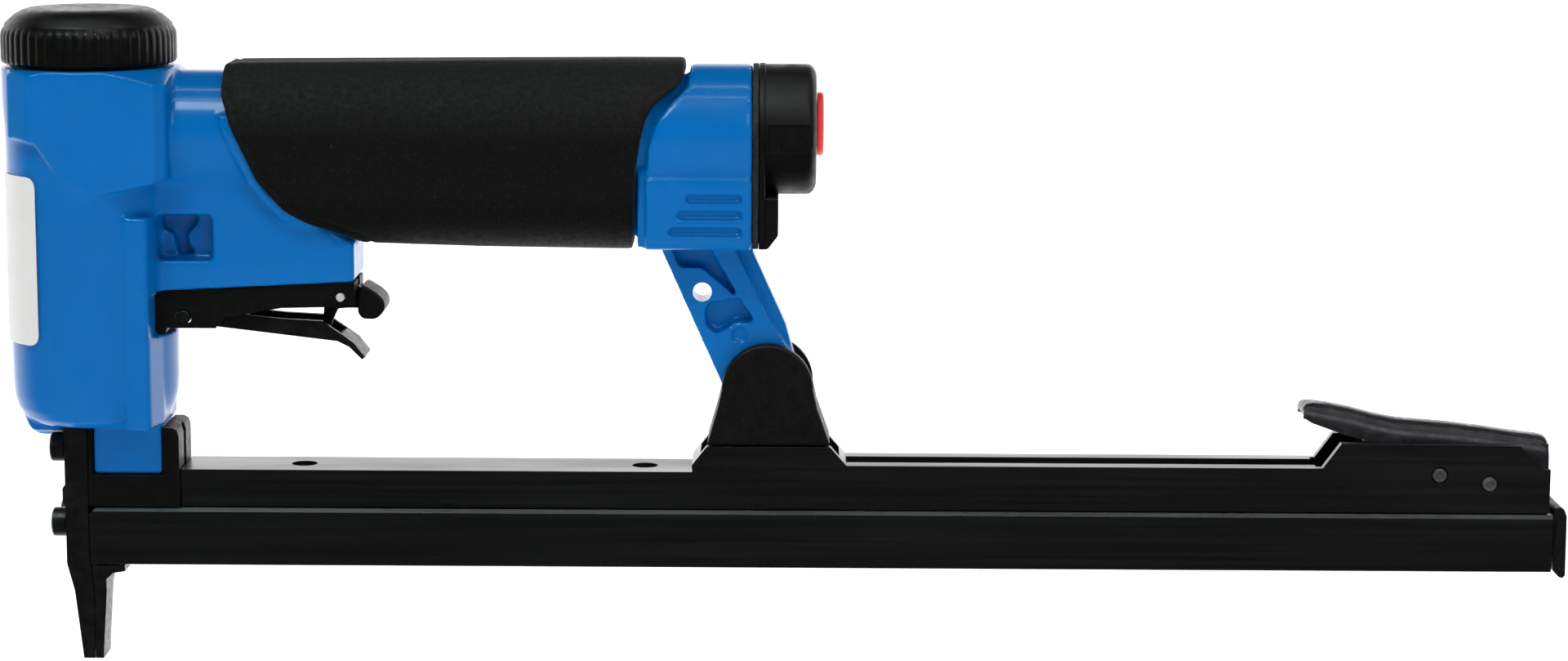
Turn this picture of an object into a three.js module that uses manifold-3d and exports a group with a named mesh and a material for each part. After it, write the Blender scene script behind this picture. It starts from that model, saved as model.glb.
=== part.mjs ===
// Compressed-air staple gun with a long nose and a long bottom-loading magazine.
// Millimetres. +X runs from the nose to the rear, +Z is up, and the tool is symmetric about Y = 0.
// The origin is the middle of the nose foot, the face that is pressed onto the work. Heights in this file are
// measured from a datum FOOT_Z below that face, and piece() lowers every finished solid by as much.
import * as THREE from 'three';
import { mergeVertices } from 'three/addons/utils/BufferGeometryUtils.js';
import Module from 'manifold-3d';

const wasm = await Module();
wasm.setup();

// ---------- driving dimensions ----------
const GAP = 0.3; // clearance between pieces that touch
const FOOT_Z = 1.5; // height of the nose foot over the datum

const BARREL = { x: 2.9, top: 135.2, bottom: 55.7, bore: 15, floor: 58.2 };
const HANDLE = { z: 120.35, frontR: 14, coreR: 13.6, rearR: 15.9, rear: 149.7 };
const DUCT = { halfWidth: 13.9, bottom: 96.3, top: 112, front: 126.2, ventStep: 3.65 };
const CAP = { r: 19.2, base: 136, shoulderR: 17.9, shoulderZ: 144.8, top: 148.1 };
const STROKE = 37;

const NOSE = { half: 8.4, tipHalf: 4.2, plateFront: -3.3, plateBack: 1.6, guideFront: 1.9, seatZ: 23.6 };
const DRIVER = { x0: 2.05, x1: 2.95, half: 2.85, slotX1: 3.3, slotHalf: 3.1 };
const NOSE_SCREW = { y: 5.2, r: 1.6, headR: 3.25, headX: -6.6, upperZ: 50.3, lowerZ: 33.2 };

const RAIL = { half: 7.7, bottom: 37.4, top: 47.35, frontTop: 45.75, x0: 22.6, x1: 328.1 };
const RAIL_FOOT = { x0: 3.6, half: 7.2, neckHalf: 5.9, neckZ: 35.5, bottom: 25.6 };
const GROOVE = { half: 3.1, ceiling: 41, webTop: 43.5, slotHalf: 3.5, cheekHalf: 5.5 };
const TOWER = { x0: 139.8, x1: 167.4, pivotX: 153.3, pivotZ: 64.3, domeR: 10.2, cheekTop: 51.5 };
const CHANNEL = { x0: 2, x1: 328.8, half: 8.7, wall: 1.2, bottom: 23.9, top: 37.1, lip: 6.2 };
const ROD = { z: 38.7, r: 0.9, x0: 25, x1: 314.7 };
const LATCH = { x: 303.4, z: 45.9, half: 5.2, skirt: 1.4 };
const STOP_PIN = { x: 314.6, z: 44, r: 1.65 };

const RAIL_SCREW = { front: 49.2, rear: 125.8, r: 1.5, headR: 2.6, headZ: 43.8, top: 44.7 };
const CROSS_PIN_Z = 47.4;

const TRIGGER = { x: 23.9, z: 80.1, half: 5.5, sheet: 1.2 };
const SAFETY = { x: 58.7, z: 84.8, r: 0.95 };
const BRACKET = { half: 8.3, inner: 6.7, front: 17.9 };
const VALVE_X = 36;

const END_CAP = { flangeX: 151.2, x1: 163.8, r: 14.65, z: 121.85, lowX: 155.5, bottom: 96.4 };
const END_SCREW = { y: 9.2, z: 101.4, r: 1.45, headR: 2.9, seat: 153.4, top: 155 };
const EXHAUST = { half: 5.2, bottom: 100.9, top: 107 };
const INLET = { z: 123.05, bore: 5.6, bushR: 8.4, plugR: 7, plugX: 165.4 };

// ---------- finishes ----------
const finish = (color, roughness, metalness) => new THREE.MeshStandardMaterial({ color, roughness, metalness });
const paint = finish(0x0f5fa5, 0.3, 0.1);
const foam = finish(0x0f110e, 0.85, 0);
const blackPlastic = finish(0x161714, 0.5, 0);
const blackAnodised = finish(0x141611, 0.35, 0.6);
const blackSteel = finish(0x1c1c1b, 0.4, 0.7);
const greySteel = finish(0x8b8c8e, 0.3, 1);
const rubber = finish(0x1a1a1a, 0.8, 0);
const brass = finish(0xb08d4a, 0.35, 1);
const redPlastic = finish(0xc12e2a, 0.45, 0);
const label = finish(0xefeae7, 0.5, 0);
const filterFelt = finish(0x8d8a80, 0.95, 0);

// ---------- geometry helpers ----------
const ALONG_X = new THREE.Matrix4().set(0, 0, 1, 0, 1, 0, 0, 0, 0, 1, 0, 0, 0, 0, 0, 1);
const LATHE_TO_X = new THREE.Matrix4().set(0, 1, 0, 0, 0, 0, 1, 0, 1, 0, 0, 0, 0, 0, 0, 1);

function solidOf(geometry) {
  let g = geometry.index ? geometry.toNonIndexed() : geometry;
  g.deleteAttribute('normal');
  g.deleteAttribute('uv');
  g = mergeVertices(g, 1e-4);
  const tri = [];
  const index = g.index.array;
  for (let i = 0; i < index.length; i += 3) {
    const [a, b, c] = [index[i], index[i + 1], index[i + 2]];
    if (a !== b && b !== c && c !== a) tri.push(a, b, c);
  }
  const build = (list) => new wasm.Manifold(new wasm.Mesh({
    numProp: 3, vertProperties: new Float32Array(g.attributes.position.array), triVerts: new Uint32Array(list),
  }));
  const solid = build(tri);
  if (solid.volume() > 0) return solid;
  const turned = [];
  for (let i = 0; i < tri.length; i += 3) turned.push(tri[i], tri[i + 2], tri[i + 1]);
  return build(turned);
}

function geometryOf(solid) {
  const mesh = solid.getMesh();
  const g = new THREE.BufferGeometry();
  g.setAttribute('position', new THREE.BufferAttribute(new Float32Array(mesh.vertProperties), 3));
  g.setIndex(new THREE.BufferAttribute(new Uint32Array(mesh.triVerts), 1));
  g.computeVertexNormals();
  return g;
}

const gun = new THREE.Group();
function piece(name, solid, material) {
  const mesh = new THREE.Mesh(geometryOf(solid).translate(0, 0, -FOOT_Z), material);
  mesh.name = name;
  gun.add(mesh);
}

const shapeOf = (points) => new THREE.Shape(points.map(([a, b]) => new THREE.Vector2(a, b)));
const join = (...solids) => solids.reduce((a, b) => a.add(b));
const cut = (solid, ...tools) => tools.reduce((a, b) => a.subtract(b), solid);

// A block between two corners.
function block(x0, x1, y0, y1, z0, z1) {
  const g = new THREE.BoxGeometry(x1 - x0, y1 - y0, z1 - z0);
  return solidOf(g.translate((x0 + x1) / 2, (y0 + y1) / 2, (z0 + z1) / 2));
}

// An outline in X and Z, carried across the tool from y0 to y1.
function slab(outline, y0, y1) {
  const shape = Array.isArray(outline) ? shapeOf(outline) : outline;
  const g = new THREE.ExtrudeGeometry(shape, { depth: y1 - y0, bevelEnabled: false, curveSegments: 10 });
  return solidOf(g.translate(0, 0, -y1).rotateX(Math.PI / 2));
}

// An outline in X and Z, centred on the middle plane.
const plate = (outline, half) => slab(outline, -half, half);

// An outline in Y and Z, carried along X.
function beam(outline, x0, x1) {
  const shape = Array.isArray(outline) ? shapeOf(outline) : outline;
  const g = new THREE.ExtrudeGeometry(shape, { depth: x1 - x0, bevelEnabled: false, curveSegments: 10 });
  return solidOf(g.translate(0, 0, x0).applyMatrix4(ALONG_X));
}

// An outline in X and Y, carried upwards, with sloping edges at both ends.
function column(outline, z0, z1, bevel = 0) {
  const g = new THREE.ExtrudeGeometry(shapeOf(outline), {
    depth: z1 - z0 - 2 * bevel, bevelEnabled: bevel > 0, bevelThickness: bevel, bevelSize: bevel,
    bevelOffset: -bevel, bevelSegments: 1,
  });
  return solidOf(g.translate(0, 0, z0 + bevel));
}

// A turned piece: radius and height pairs spun round an axis parallel to X, Y or Z.
function turned(profile, axis, at, sides = 32) {
  const g = new THREE.LatheGeometry(profile.map(([r, h]) => new THREE.Vector2(r, h)), sides);
  if (axis === 'z') g.rotateX(Math.PI / 2);
  if (axis === 'x') g.applyMatrix4(LATHE_TO_X);
  return solidOf(g.translate(...at));
}

const rodProfile = (r, a, b) => [[0, a], [r, a], [r, b], [0, b]];
const ringProfile = (inner, outer, a, b) => [[inner, a], [outer, a], [outer, b], [inner, b], [inner, a]];
const rodX = (r, x0, x1, y, z, sides = 20) => turned(rodProfile(r, x0, x1), 'x', [0, y, z], sides);
const rodY = (r, y0, y1, x, z, sides = 20) => turned(rodProfile(r, y0, y1), 'y', [x, 0, z], sides);
const rodZ = (r, z0, z1, x, y, sides = 20) => turned(rodProfile(r, z0, z1), 'z', [x, y, 0], sides);
const ringX = (inner, outer, x0, x1, z, sides = 24) =>
  turned(ringProfile(inner, outer, x0, x1), 'x', [0, 0, z], sides);
const ringZ = (inner, outer, z0, z1, x, sides = 32) =>
  turned(ringProfile(inner, outer, z0, z1), 'z', [x, 0, 0], sides);

// The right half of a symmetric outline, from the bottom up, closed by its mirror image.
const mirrored = (half) => [...half, ...half.map(([y, z]) => [-y, z]).reverse()];

// The left half of a plan that is symmetric about Y = 0, from front to rear, closed by its mirror image.
function mirroredPlan(half) {
  return [...half.map(([x, y]) => [x, -y]), ...[...half].reverse()];
}

// A socket-head screw along X: head at headX, shank to endX, hexagon socket in the head.
function socketScrew(y, z, headX, seatX, endX) {
  const { r, headR } = NOSE_SCREW;
  const body = turned([[0, headX], [headR - 0.4, headX], [headR, headX + 0.5], [headR, seatX], [r, seatX],
    [r, endX - 0.6], [r - 0.6, endX], [0, endX]], 'x', [0, y, z], 20);
  return cut(body, rodX(1.5, headX - 1, headX + 2.2, y, z, 6));
}

// ---------- body: barrel, handle, strut ----------
const BARREL_WALL = [[0, BARREL.bottom], [13.4, BARREL.bottom], [16.2, 57.6], [17.6, 60.6], [18.3, 66], [18.4, 90],
  [18.8, 122], [19.2, 128], [19.2, BARREL.top], [0, BARREL.top]];
const HEAD_BLOCK = mirroredPlan([[-11, 16.6], [-7, 18.7], [19.7, 18.7], [22.2, 16.2]]);
const HEAD_SIDE = [[-20, 121.5], [-6, 119.6], [0, 111], [5, 108], [12, 109.2], [22.5, 111.5], [22.5, 136], [-20, 136]];
const COLUMN = mirroredPlan([[6, 15.8], [16.6, 15.8], [17.3, 15], [19.3, 8.2]]);
const NECK = [[9, 86], [17.9, 86], [62, 88.35], [62, 97], [57, 99.4], [51, 101.4], [46, 104.6], [42, 109.4],
  [38.4, 117], [36, 124], [35, 131], [9, 131]];
const STRUT = [[129.2, 98], [129.2, 96.1], [142.6, 66.3], [144.6, 60.8], [148.4, 57.4], [153.3, 56.3], [158.2, 58],
  [161, 61.8], [161, 67], [158.8, 73], [157.3, 78.5], [149.9, 94.8], [149.7, 98]];
const STRUT_SHEET = { half: 4.8, web: 1.7, rear: 3 };
const UPPER_POCKET = [[131, 97.5], [140.4, 97.5], [141, 94.7], [149, 81], [144.4, 86.5], [138.7, 91.3], [133.5, 91.6]];
const LOWER_POCKET = [[139.3, 82], [140.4, 83.6], [146.8, 84.5], [150.4, 79.4], [144.4, 77.9], [141.7, 76.5],
  [139.7, 78.2]];
const REAR_RECESS = [[144.6, 97.5], [151, 97.5], [151, 95], [159, 78.6], [160.5, 72], [158.4, 72.4], [153.6, 80]];
// The front edge of the raised part behind the grip, which follows the end of the foam.
const REAR_BODY = [[DUCT.front, 90], [DUCT.front, 115.4], [126.9, 120.5], [129.1, 125.3], [132.5, 130],
  [135.2, 133.2], [135.6, 140], [HANDLE.rear, 140], [HANDLE.rear, 90]];
const HANG_HOLE = { x: 138.7, z: 85.9, r: 2.12 };

function barrelSolid() {
  const { x } = BARREL;
  const lip = turned([[0, 52.4], [12.8, 52.4], [14.4, 53.8], [16.2, 57.6], [0, 57.6]], 'z', [x, 0, 0], 40);
  return join(
    turned(BARREL_WALL, 'z', [x, 0, 0], 48),
    lip.intersect(block(-20, -9, -10, 10, 50, 60)),
    column(HEAD_BLOCK, 105, 134.6, 2.4).intersect(plate(HEAD_SIDE, 20)),
    column(COLUMN, 55.6, 103, 1.2),
    block(3.3, 18.4, -7.8, 7.8, 44.7, 58),
  );
}

function handleSolid() {
  const { z, frontR, coreR, rearR, rear } = HANDLE;
  const duct = mirrored([[DUCT.halfWidth - 2.5, DUCT.bottom], [DUCT.halfWidth, DUCT.bottom + 2.5],
    [DUCT.halfWidth, DUCT.top - 1.5], [DUCT.halfWidth - 1.5, DUCT.top]]);
  return join(
    rodX(frontR, 5, 46, 0, z, 40),
    rodX(coreR, 40, 140, 0, z, 40),
    plate(NECK, 9.4),
    block(40, DUCT.front + 1, -8, 8, 99, 115),
    block(DUCT.front - 1.6, DUCT.front + 1, -DUCT.halfWidth + 0.8, DUCT.halfWidth - 0.8, DUCT.bottom + 0.8, 113),
    join(rodX(rearR, DUCT.front, rear, 0, z, 40), beam(duct, DUCT.front, rear)).intersect(plate(REAR_BODY, 20)),
  );
}

function strutSolid() {
  const { half, web, rear } = STRUT_SHEET;
  const recess = (outline, depth) => [slab(outline, depth, 9), slab(outline, -9, -depth)];
  const sheet = cut(plate(STRUT, half), ...recess(UPPER_POCKET, web), ...recess(LOWER_POCKET, web),
    ...recess(REAR_RECESS, rear));
  return cut(join(sheet, rodY(8.2, -half, half, TOWER.pivotX, TOWER.pivotZ, 28)),
    rodY(HANG_HOLE.r, -9, 9, HANG_HOLE.x, HANG_HOLE.z));
}

function housing() {
  const { x, bore, floor, top } = BARREL;
  const grooves = [0, 1, 2].flatMap((i) => [-1, 1].map((side) => {
    const z = 107.9 - DUCT.ventStep * i;
    const y = side * DUCT.halfWidth;
    return block(135.2 - 1.9 * i, 147.4, y - 0.8, y + 0.8, z - 0.9, z + 0.9);
  }));
  return cut(
    join(barrelSolid(), handleSolid(), strutSolid()),
    rodZ(bore, floor, top + 1, x, 0, 48),
    rodZ(17.3, 134.4, top + 1, x, 0, 48),
    block(DRIVER.x0 - 0.15, DRIVER.slotX1, -DRIVER.slotHalf, DRIVER.slotHalf, 40, floor + 1),
    block(-3.6, DRIVER.slotX1, -NOSE.half - GAP, NOSE.half + GAP, 40, 55.6),
    rodX(10.6, 10, HANDLE.rear + 1, 0, HANDLE.z + 1, 28),
    block(46, HANDLE.rear + 1, -5.4, 5.4, 101.5, EXHAUST.top),
    rodZ(4.5, 80, 96.3, VALVE_X, 0, 24),
    block(BRACKET.front - GAP, 22, -20, 20, 76.3, 86),
    ...[-1, 1].map((side) => block(18.4, 30.5, side > 0 ? 4.6 : -20, side > 0 ? 20 : -4.6, 93, 103)),
    ...[-1, 1].map((side) => rodX(NOSE_SCREW.r + 0.25, 0, 15, side * NOSE_SCREW.y, NOSE_SCREW.upperZ, 16)),
    ...[-END_SCREW.y, END_SCREW.y].map((y) => rodX(END_SCREW.r + GAP, 138, HANDLE.rear + 1, y, END_SCREW.z, 16)),
    rodY(2.3, -10, 10, TOWER.pivotX, TOWER.pivotZ, 20),
    ...grooves,
  );
}

function cylinderCap() {
  const { r, base, shoulderR, shoulderZ, top } = CAP;
  const plug = { outer: 14.6, inner: 11.5, bottom: 131.5, ceiling: 140 };
  return turned([[0, top - 0.3], [10.5, top - 0.2], [13.6, top - 0.6], [16, 146.9], [shoulderR, shoulderZ],
    [r - 0.2, 143], [r, 141], [r, base], [plug.outer, base], [plug.outer, plug.bottom], [plug.inner, plug.bottom],
    [plug.inner, plug.ceiling], [0, plug.ceiling]], 'z', [BARREL.x, 0, 0], 48);
}

piece('housing', housing(), paint);
piece('cylinder_cap', cylinderCap(), blackPlastic);
piece('cap_seal', ringZ(15.1, 17, 134.7, 135.7, BARREL.x), rubber);

// ---------- firing cylinder ----------
const PISTON = { bottom: 105.6, height: 8, r: 12.7 };
const lowPiston = PISTON.bottom - STROKE;
piece('cylinder_sleeve', ringZ(13, 14.7, BARREL.floor + GAP, 118, BARREL.x), greySteel);

function bumper() {
  const ring = turned([[0, BARREL.floor + GAP], [12.6, BARREL.floor + GAP], [12.6, lowPiston - 1.6],
    [9, lowPiston - GAP], [0, lowPiston - GAP]], 'z', [BARREL.x, 0, 0]);
  return cut(ring, block(DRIVER.x0 - 0.4, DRIVER.slotX1 + 0.1, -3.4, 3.4, 50, 80));
}
piece('bumper', bumper(), rubber);

function piston() {
  const { bottom, height, r } = PISTON;
  const top = bottom + height;
  const body = turned([[0, bottom], [9, bottom], [9, bottom + 1.5], [r, bottom + 1.5], [r, bottom + 2.6],
    [r - 2, bottom + 2.6], [r - 2, bottom + 5.4], [r, bottom + 5.4], [r, top], [0, top]], 'z', [BARREL.x, 0, 0]);
  return cut(body, block(DRIVER.x0 - GAP, DRIVER.x1 + GAP, -DRIVER.half - GAP, DRIVER.half + GAP, 100, bottom + 5),
    rodX(0.9, -3, 9, 0, bottom + 2.2, 12));
}
piece('piston', piston(), greySteel);
const pistonRing = ringZ(PISTON.r - 1.7, PISTON.r + 0.05, PISTON.bottom + 2.9, PISTON.bottom + 5.1, BARREL.x);
piece('piston_ring', pistonRing, rubber);

function driverBlade() {
  const top = PISTON.bottom + 4.7;
  const blade = block(DRIVER.x0, DRIVER.x1, -DRIVER.half, DRIVER.half, 37.2, top);
  return cut(blade, rodX(1.15, 1, 4, 0, PISTON.bottom + 2.2, 12));
}
piece('driver_blade', driverBlade(), greySteel);
piece('driver_pin', rodX(0.65, -2, 8, 0, PISTON.bottom + 2.2, 12), greySteel);

const HEAD_VALVE = [[5, 118.4], [14.5, 118.4], [14.5, 124.2], [10.5, 124.2], [10.5, 121.4], [5, 121.4], [5, 118.4]];
piece('head_valve_piston', turned(HEAD_VALVE, 'z', [BARREL.x, 0, 0]), blackPlastic);
piece('head_valve_spring', ringZ(7.4, 9, 121.7, 139.7, BARREL.x, 24), greySteel);

// ---------- grip ----------
const GRIP_SIDE = [[33.7, 136.4], [34, 129], [36, 123.5], [41.4, 111.5], [44, 108.2], [47.6, 104.2], [52.5, 101.4],
  [58.4, 99.3], [63.9, 96.9], [90, 95.9], [123.3, 95.3], [124.2, 113.8], [125.3, 120.5], [126.4, 125.1],
  [128.2, 128.2], [131.6, 131], [133.9, 132.8], [134.8, 134.6], [134.8, 137.7]];
const GRIP = { half: 16.6, lowerHalf: 15, upperZ: 121.1, lowerZ: 110 };
const NECK_ROOM = [[25, 80], [62.4, 80], [62.4, 97.4], [57.2, 99.9], [51.3, 101.9], [46.4, 105.1], [42.5, 109.8],
  [38.9, 117.3], [36.5, 124.2], [35.4, 131.4], [25, 131.4]];

function gripSleeve() {
  const outline = new THREE.Shape();
  outline.absarc(0, GRIP.upperZ, GRIP.half, 0, Math.PI, false);
  outline.absarc(0, GRIP.lowerZ, GRIP.lowerHalf, Math.PI, 2 * Math.PI, false);
  outline.closePath();
  const skin = beam(outline, 33, 136).intersect(plate(GRIP_SIDE, 20));
  return cut(skin,
    rodX(HANDLE.frontR + GAP, 30, 46.4, 0, HANDLE.z, 40),
    rodX(HANDLE.coreR + GAP, 46, 142, 0, HANDLE.z, 40),
    plate(NECK_ROOM, 9.4 + GAP),
    block(39.7, DUCT.front - GAP + 1, -8 - GAP, 8 + GAP, 98.7, 115));
}
piece('grip_sleeve', gripSleeve(), foam);

// ---------- rear end: gasket, end cap, exhaust filter, inlet ----------
function endOutline(grow) {
  const shape = new THREE.Shape();
  const low = END_CAP.bottom - grow;
  const half = DUCT.halfWidth + grow;
  shape.moveTo(-half + 2.5, low);
  shape.lineTo(half - 2.5, low);
  shape.lineTo(half, low + 2.5);
  shape.lineTo(half, 113);
  shape.absarc(0, END_CAP.z, END_CAP.r + grow, -0.4, Math.PI + 0.4, false);
  shape.lineTo(-half, 113);
  shape.lineTo(-half, low + 2.5);
  shape.closePath();
  return shape;
}
const endCapBores = () => [
  rodX(INLET.bushR + GAP, 149, END_CAP.x1 + 1, 0, INLET.z, 28),
  block(149, END_CAP.lowX - 2, -EXHAUST.half, EXHAUST.half, EXHAUST.bottom, EXHAUST.top),
  ...[-END_SCREW.y, END_SCREW.y].flatMap((y) => [
    rodX(END_SCREW.r + GAP, 149, 170, y, END_SCREW.z, 16),
    rodX(END_SCREW.headR + GAP, END_SCREW.seat - 0.2, 170, y, END_SCREW.z),
  ]),
];
const gasket = beam(endOutline(0), HANDLE.rear + 0.2, END_CAP.flangeX - 0.2);
piece('end_cap_gasket', cut(gasket, ...endCapBores()), rubber);

function endCap() {
  const { flangeX, x1, r, z, lowX, bottom } = END_CAP;
  const round = turned([[0, flangeX], [r, flangeX], [r, x1 - 1.8], [r - 0.6, x1 - 0.6], [r - 1.8, x1], [0, x1]],
    'x', [0, 0, z], 40);
  const low = plate([[flangeX, bottom], [lowX - 3, bottom], [lowX, bottom + 4], [lowX, 107.6], [flangeX, 107.6]],
    DUCT.halfWidth - 0.6);
  const vents = [-1, 1].map((side) => block(lowX - 3, lowX + 1, side * 2.6 - 1.4, side * 2.6 + 1.4, 102, 105.8));
  return cut(join(beam(endOutline(0), flangeX, 152.5), round, low), ...endCapBores(), ...vents);
}
piece('end_cap', endCap(), blackPlastic);

for (const [side, sign] of [['left', -1], ['right', 1]]) {
  const { z, r, headR, seat, top } = END_SCREW;
  const y = sign * END_SCREW.y;
  const profile = [[0, 140], [r, 140], [r, seat], [headR, seat], [headR - 0.3, top], [0, top]];
  const screw = turned(profile, 'x', [0, y, z], 16);
  piece(`end_cap_screw_${side}`, cut(screw, rodX(1.2, seat + 0.5, 160, y, z, 6)), blackSteel);
}
piece('exhaust_filter', block(120, HANDLE.rear - 1, -5, 5, 101.8, 106.7), filterFelt);
piece('inlet_bush', ringX(INLET.bore, INLET.bushR, 150.5, END_CAP.x1 - 0.2, INLET.z, 28), brass);

function inletPlug() {
  const { bore, plugR, plugX, z } = INLET;
  const body = turned([[0, 151], [bore - 0.9, 151], [bore - 0.3, 152], [bore - 0.3, END_CAP.x1 + 0.15],
    [plugR, END_CAP.x1 + 0.15], [plugR, plugX - 0.6], [plugR - 0.6, plugX], [0, plugX]], 'x', [0, 0, z], 28);
  return cut(body, rodX(3.6, 150, 161, 0, z, 16));
}
piece('inlet_plug', inletPlug(), redPlastic);

// ---------- trigger, its bracket, valve and safety catch ----------
const BRACKET_SIDE = [[17.9, 76.6], [19.9, 76.6], [20.2, 77.7], [31, 77.7], [33.2, 80.2], [45.7, 82.3],
  [61.9, 82.7], [61.9, 88.05], [17.9, 85.7]];
const bracketRoof = (x) => 83.6 + (x - 19.9) * 0.0562;

function triggerBracket() {
  const inside = [[20, 70], [20, bracketRoof(20)], [66, bracketRoof(66)], [66, 70]];
  return cut(plate(BRACKET_SIDE, BRACKET.half),
    plate(inside, BRACKET.inner),
    rodZ(4.5, 80, 90, VALVE_X, 0, 24),
    block(55, 63, -1.8, 1.8, 80, 90),
    rodY(1.8, -10, 10, TRIGGER.x, TRIGGER.z),
    rodY(SAFETY.r + 0.25, -10, 10, SAFETY.x, SAFETY.z, 16));
}
piece('trigger_bracket', triggerBracket(), blackPlastic);
piece('trigger_pin', rodY(1.5, -8.5, 8.5, TRIGGER.x, TRIGGER.z), blackSteel);
piece('safety_pin', rodY(SAFETY.r, -8.6, 8.6, SAFETY.x, SAFETY.z, 16), greySteel);

const LEVER_SIDE = [[21.6, 80.1], [22.2, 78.5], [23.9, 77.8], [28, 78], [57.6, 74.5], [60.2, 73.2], [63, 70.4],
  [63.7, 70.9], [61.2, 74.1], [58.6, 76], [56.2, 77.6], [54.4, 79], [45, 79.5], [30, 81], [25.6, 82], [23.9, 82.4],
  [22.2, 81.7]];

function triggerLever() {
  const { x, z, half, sheet } = TRIGGER;
  const inside = [[19, 70], [27, 70], [27, 79.3], [57.6, 75.7], [59.5, 76.2], [59.5, 90], [19, 90]];
  return cut(plate(LEVER_SIDE, half), plate(inside, half - sheet), rodY(1.8, -9, 9, x, z),
    block(52.4, 58, -1.8, 1.8, 70, 80));
}
piece('trigger_lever', triggerLever(), blackSteel);

function safetyCatch() {
  const leg = [[61.9, 86.4], [62.4, 85.6], [62.4, 81.2], [59.5, 81.4], [57.3, 81.2], [56.1, 78.6], [55.4, 76.6],
    [53.9, 76.6], [54.2, 81.7], [56.4, 85.2], [57.6, 86.6], [59.2, 86.9]];
  const hook = [[62.3, 80.8], [62.3, 84.6], [63.1, 87.3], [67, 85], [68.6, 83.3], [68.6, 81.4], [66.7, 79.6],
    [63.4, 79.7]];
  return cut(join(plate(leg, 1.4), plate(hook, BRACKET.half - 0.7)),
    rodY(SAFETY.r + 0.3, -5, 5, SAFETY.x, SAFETY.z, 16));
}
piece('safety_catch', safetyCatch(), blackSteel);

const BUSHING = [[1.8, 82.5], [5.4, 82.5], [5.4, 84], [4.2, 84], [4.2, 96], [3.3, 96], [3.3, 87.4], [1.8, 87.4],
  [1.8, 82.5]];
const STEM = [[0, 78.7], [1.1, 78.7], [1.5, 79.1], [1.5, 87.7], [2.9, 87.7], [2.9, 89.6], [1.2, 89.6], [1.2, 94],
  [0, 94]];
piece('valve_bushing', turned(BUSHING, 'z', [VALVE_X, 0, 0], 24), brass);
piece('valve_stem', turned(STEM, 'z', [VALVE_X, 0, 0], 20), greySteel);
piece('valve_spring', ringZ(1.6, 2.6, 89.9, 96, VALVE_X, 20), greySteel);

// ---------- nose ----------
function frontPlate() {
  const { half, tipHalf, plateFront, plateBack } = NOSE;
  const side = [[plateFront, 24], [-0.8, FOOT_Z], [plateBack, FOOT_Z], [plateBack, 55.3], [plateFront, 55.3],
    [plateFront, 42.2], [-3.9, 41.4], [-3.9, 38], [plateFront, 37.2]];
  const front = mirrored([[tipHalf, FOOT_Z], [tipHalf, 17], [half, 24.5], [half, 55.3]]);
  return cut(plate(side, half).intersect(beam(front, -6, 4)),
    ...[-1, 1].flatMap((s) => [NOSE_SCREW.upperZ, NOSE_SCREW.lowerZ].map((z) =>
      rodX(NOSE_SCREW.r + 0.25, -6, 4, s * NOSE_SCREW.y, z, 16))));
}
piece('front_plate', frontPlate(), blackSteel);

const { half: footHalf, neckHalf, neckZ, bottom: footZ, x0: footX } = RAIL_FOOT;
const footOutline = (s, top) => [[s * GROOVE.half, footZ], [s * footHalf, footZ], [s * footHalf, neckZ],
  [s * neckHalf, neckZ], [s * neckHalf, top], [s * GROOVE.half, top]];

function noseGuide() {
  const { guideFront, seatZ, tipHalf, half } = NOSE;
  const side = [[guideFront, FOOT_Z], [3.7, FOOT_Z], [3.8, 4], [4.9, 20], [6.6, 21.6], [9.4, 22.1], [9.4, seatZ],
    [guideFront, seatZ]];
  const front = mirrored([[tipHalf, FOOT_Z], [tipHalf, 17], [half - 1.2, seatZ], [half - 1.2, 26]]);
  const lower = plate(side, half).intersect(beam(front, 0, 12));
  const cheeks = [-1, 1].map((s) => beam(footOutline(s, CHANNEL.top + 0.1), guideFront, footX - GAP));
  const posts = [-1, 1].map((s) => block(guideFront, footX - GAP, s > 0 ? 3.1 : -7.2, s > 0 ? 7.2 : -3.1, 23, 27));
  return cut(join(lower, ...cheeks, ...posts),
    block(1, DRIVER.slotX1, -DRIVER.slotHalf, DRIVER.slotHalf, -1, 60),
    ...[-1, 1].map((s) => rodX(NOSE_SCREW.r + 0.25, 0, 9, s * NOSE_SCREW.y, NOSE_SCREW.lowerZ, 16)));
}
piece('nose_guide', noseGuide(), blackSteel);

function noseBlock() {
  const { half, guideFront } = NOSE;
  const side = [[guideFront, RAIL.bottom], [22.3, RAIL.bottom], [22.3, 53.2], [21.9, 54.6], [20.8, 55.2], [18.7, 55.2],
    [18.7, 44.4], [3, 44.4], [3, 55.3], [guideFront, 55.3]];
  return cut(plate(side, half),
    block(1, DRIVER.slotX1, -DRIVER.slotHalf, DRIVER.slotHalf, 30, 60),
    block(21.5, 23, -1.4, 1.4, 36, 60),
    ...[-1, 1].map((s) => rodX(NOSE_SCREW.r + 0.25, 0, 9, s * NOSE_SCREW.y, NOSE_SCREW.upperZ, 16)));
}
piece('nose_block', noseBlock(), blackPlastic);

for (const [side, s] of [['left', -1], ['right', 1]]) {
  const { y, headX, upperZ, lowerZ } = NOSE_SCREW;
  piece(`nose_screw_upper_${side}`, socketScrew(s * y, upperZ, headX, NOSE.plateFront - 0.2, 14), blackSteel);
  piece(`nose_screw_lower_${side}`, socketScrew(s * y, lowerZ, headX, NOSE.plateFront - 0.2, 11), blackSteel);
}

// ---------- magazine rail, tower and latch ----------
const TOWER_CHEEK = [[136.5, 46.4], [136.5, 47.35], [139.8, 51.5], [167.4, 51.5], [171, 47.35], [171, 46.4]];
const LATCH_CHEEK = [[277.2, 46.4], [277.2, 47.35], [281.3, 53], [321.1, 52.7], [RAIL.x1, 46.2]];

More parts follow.
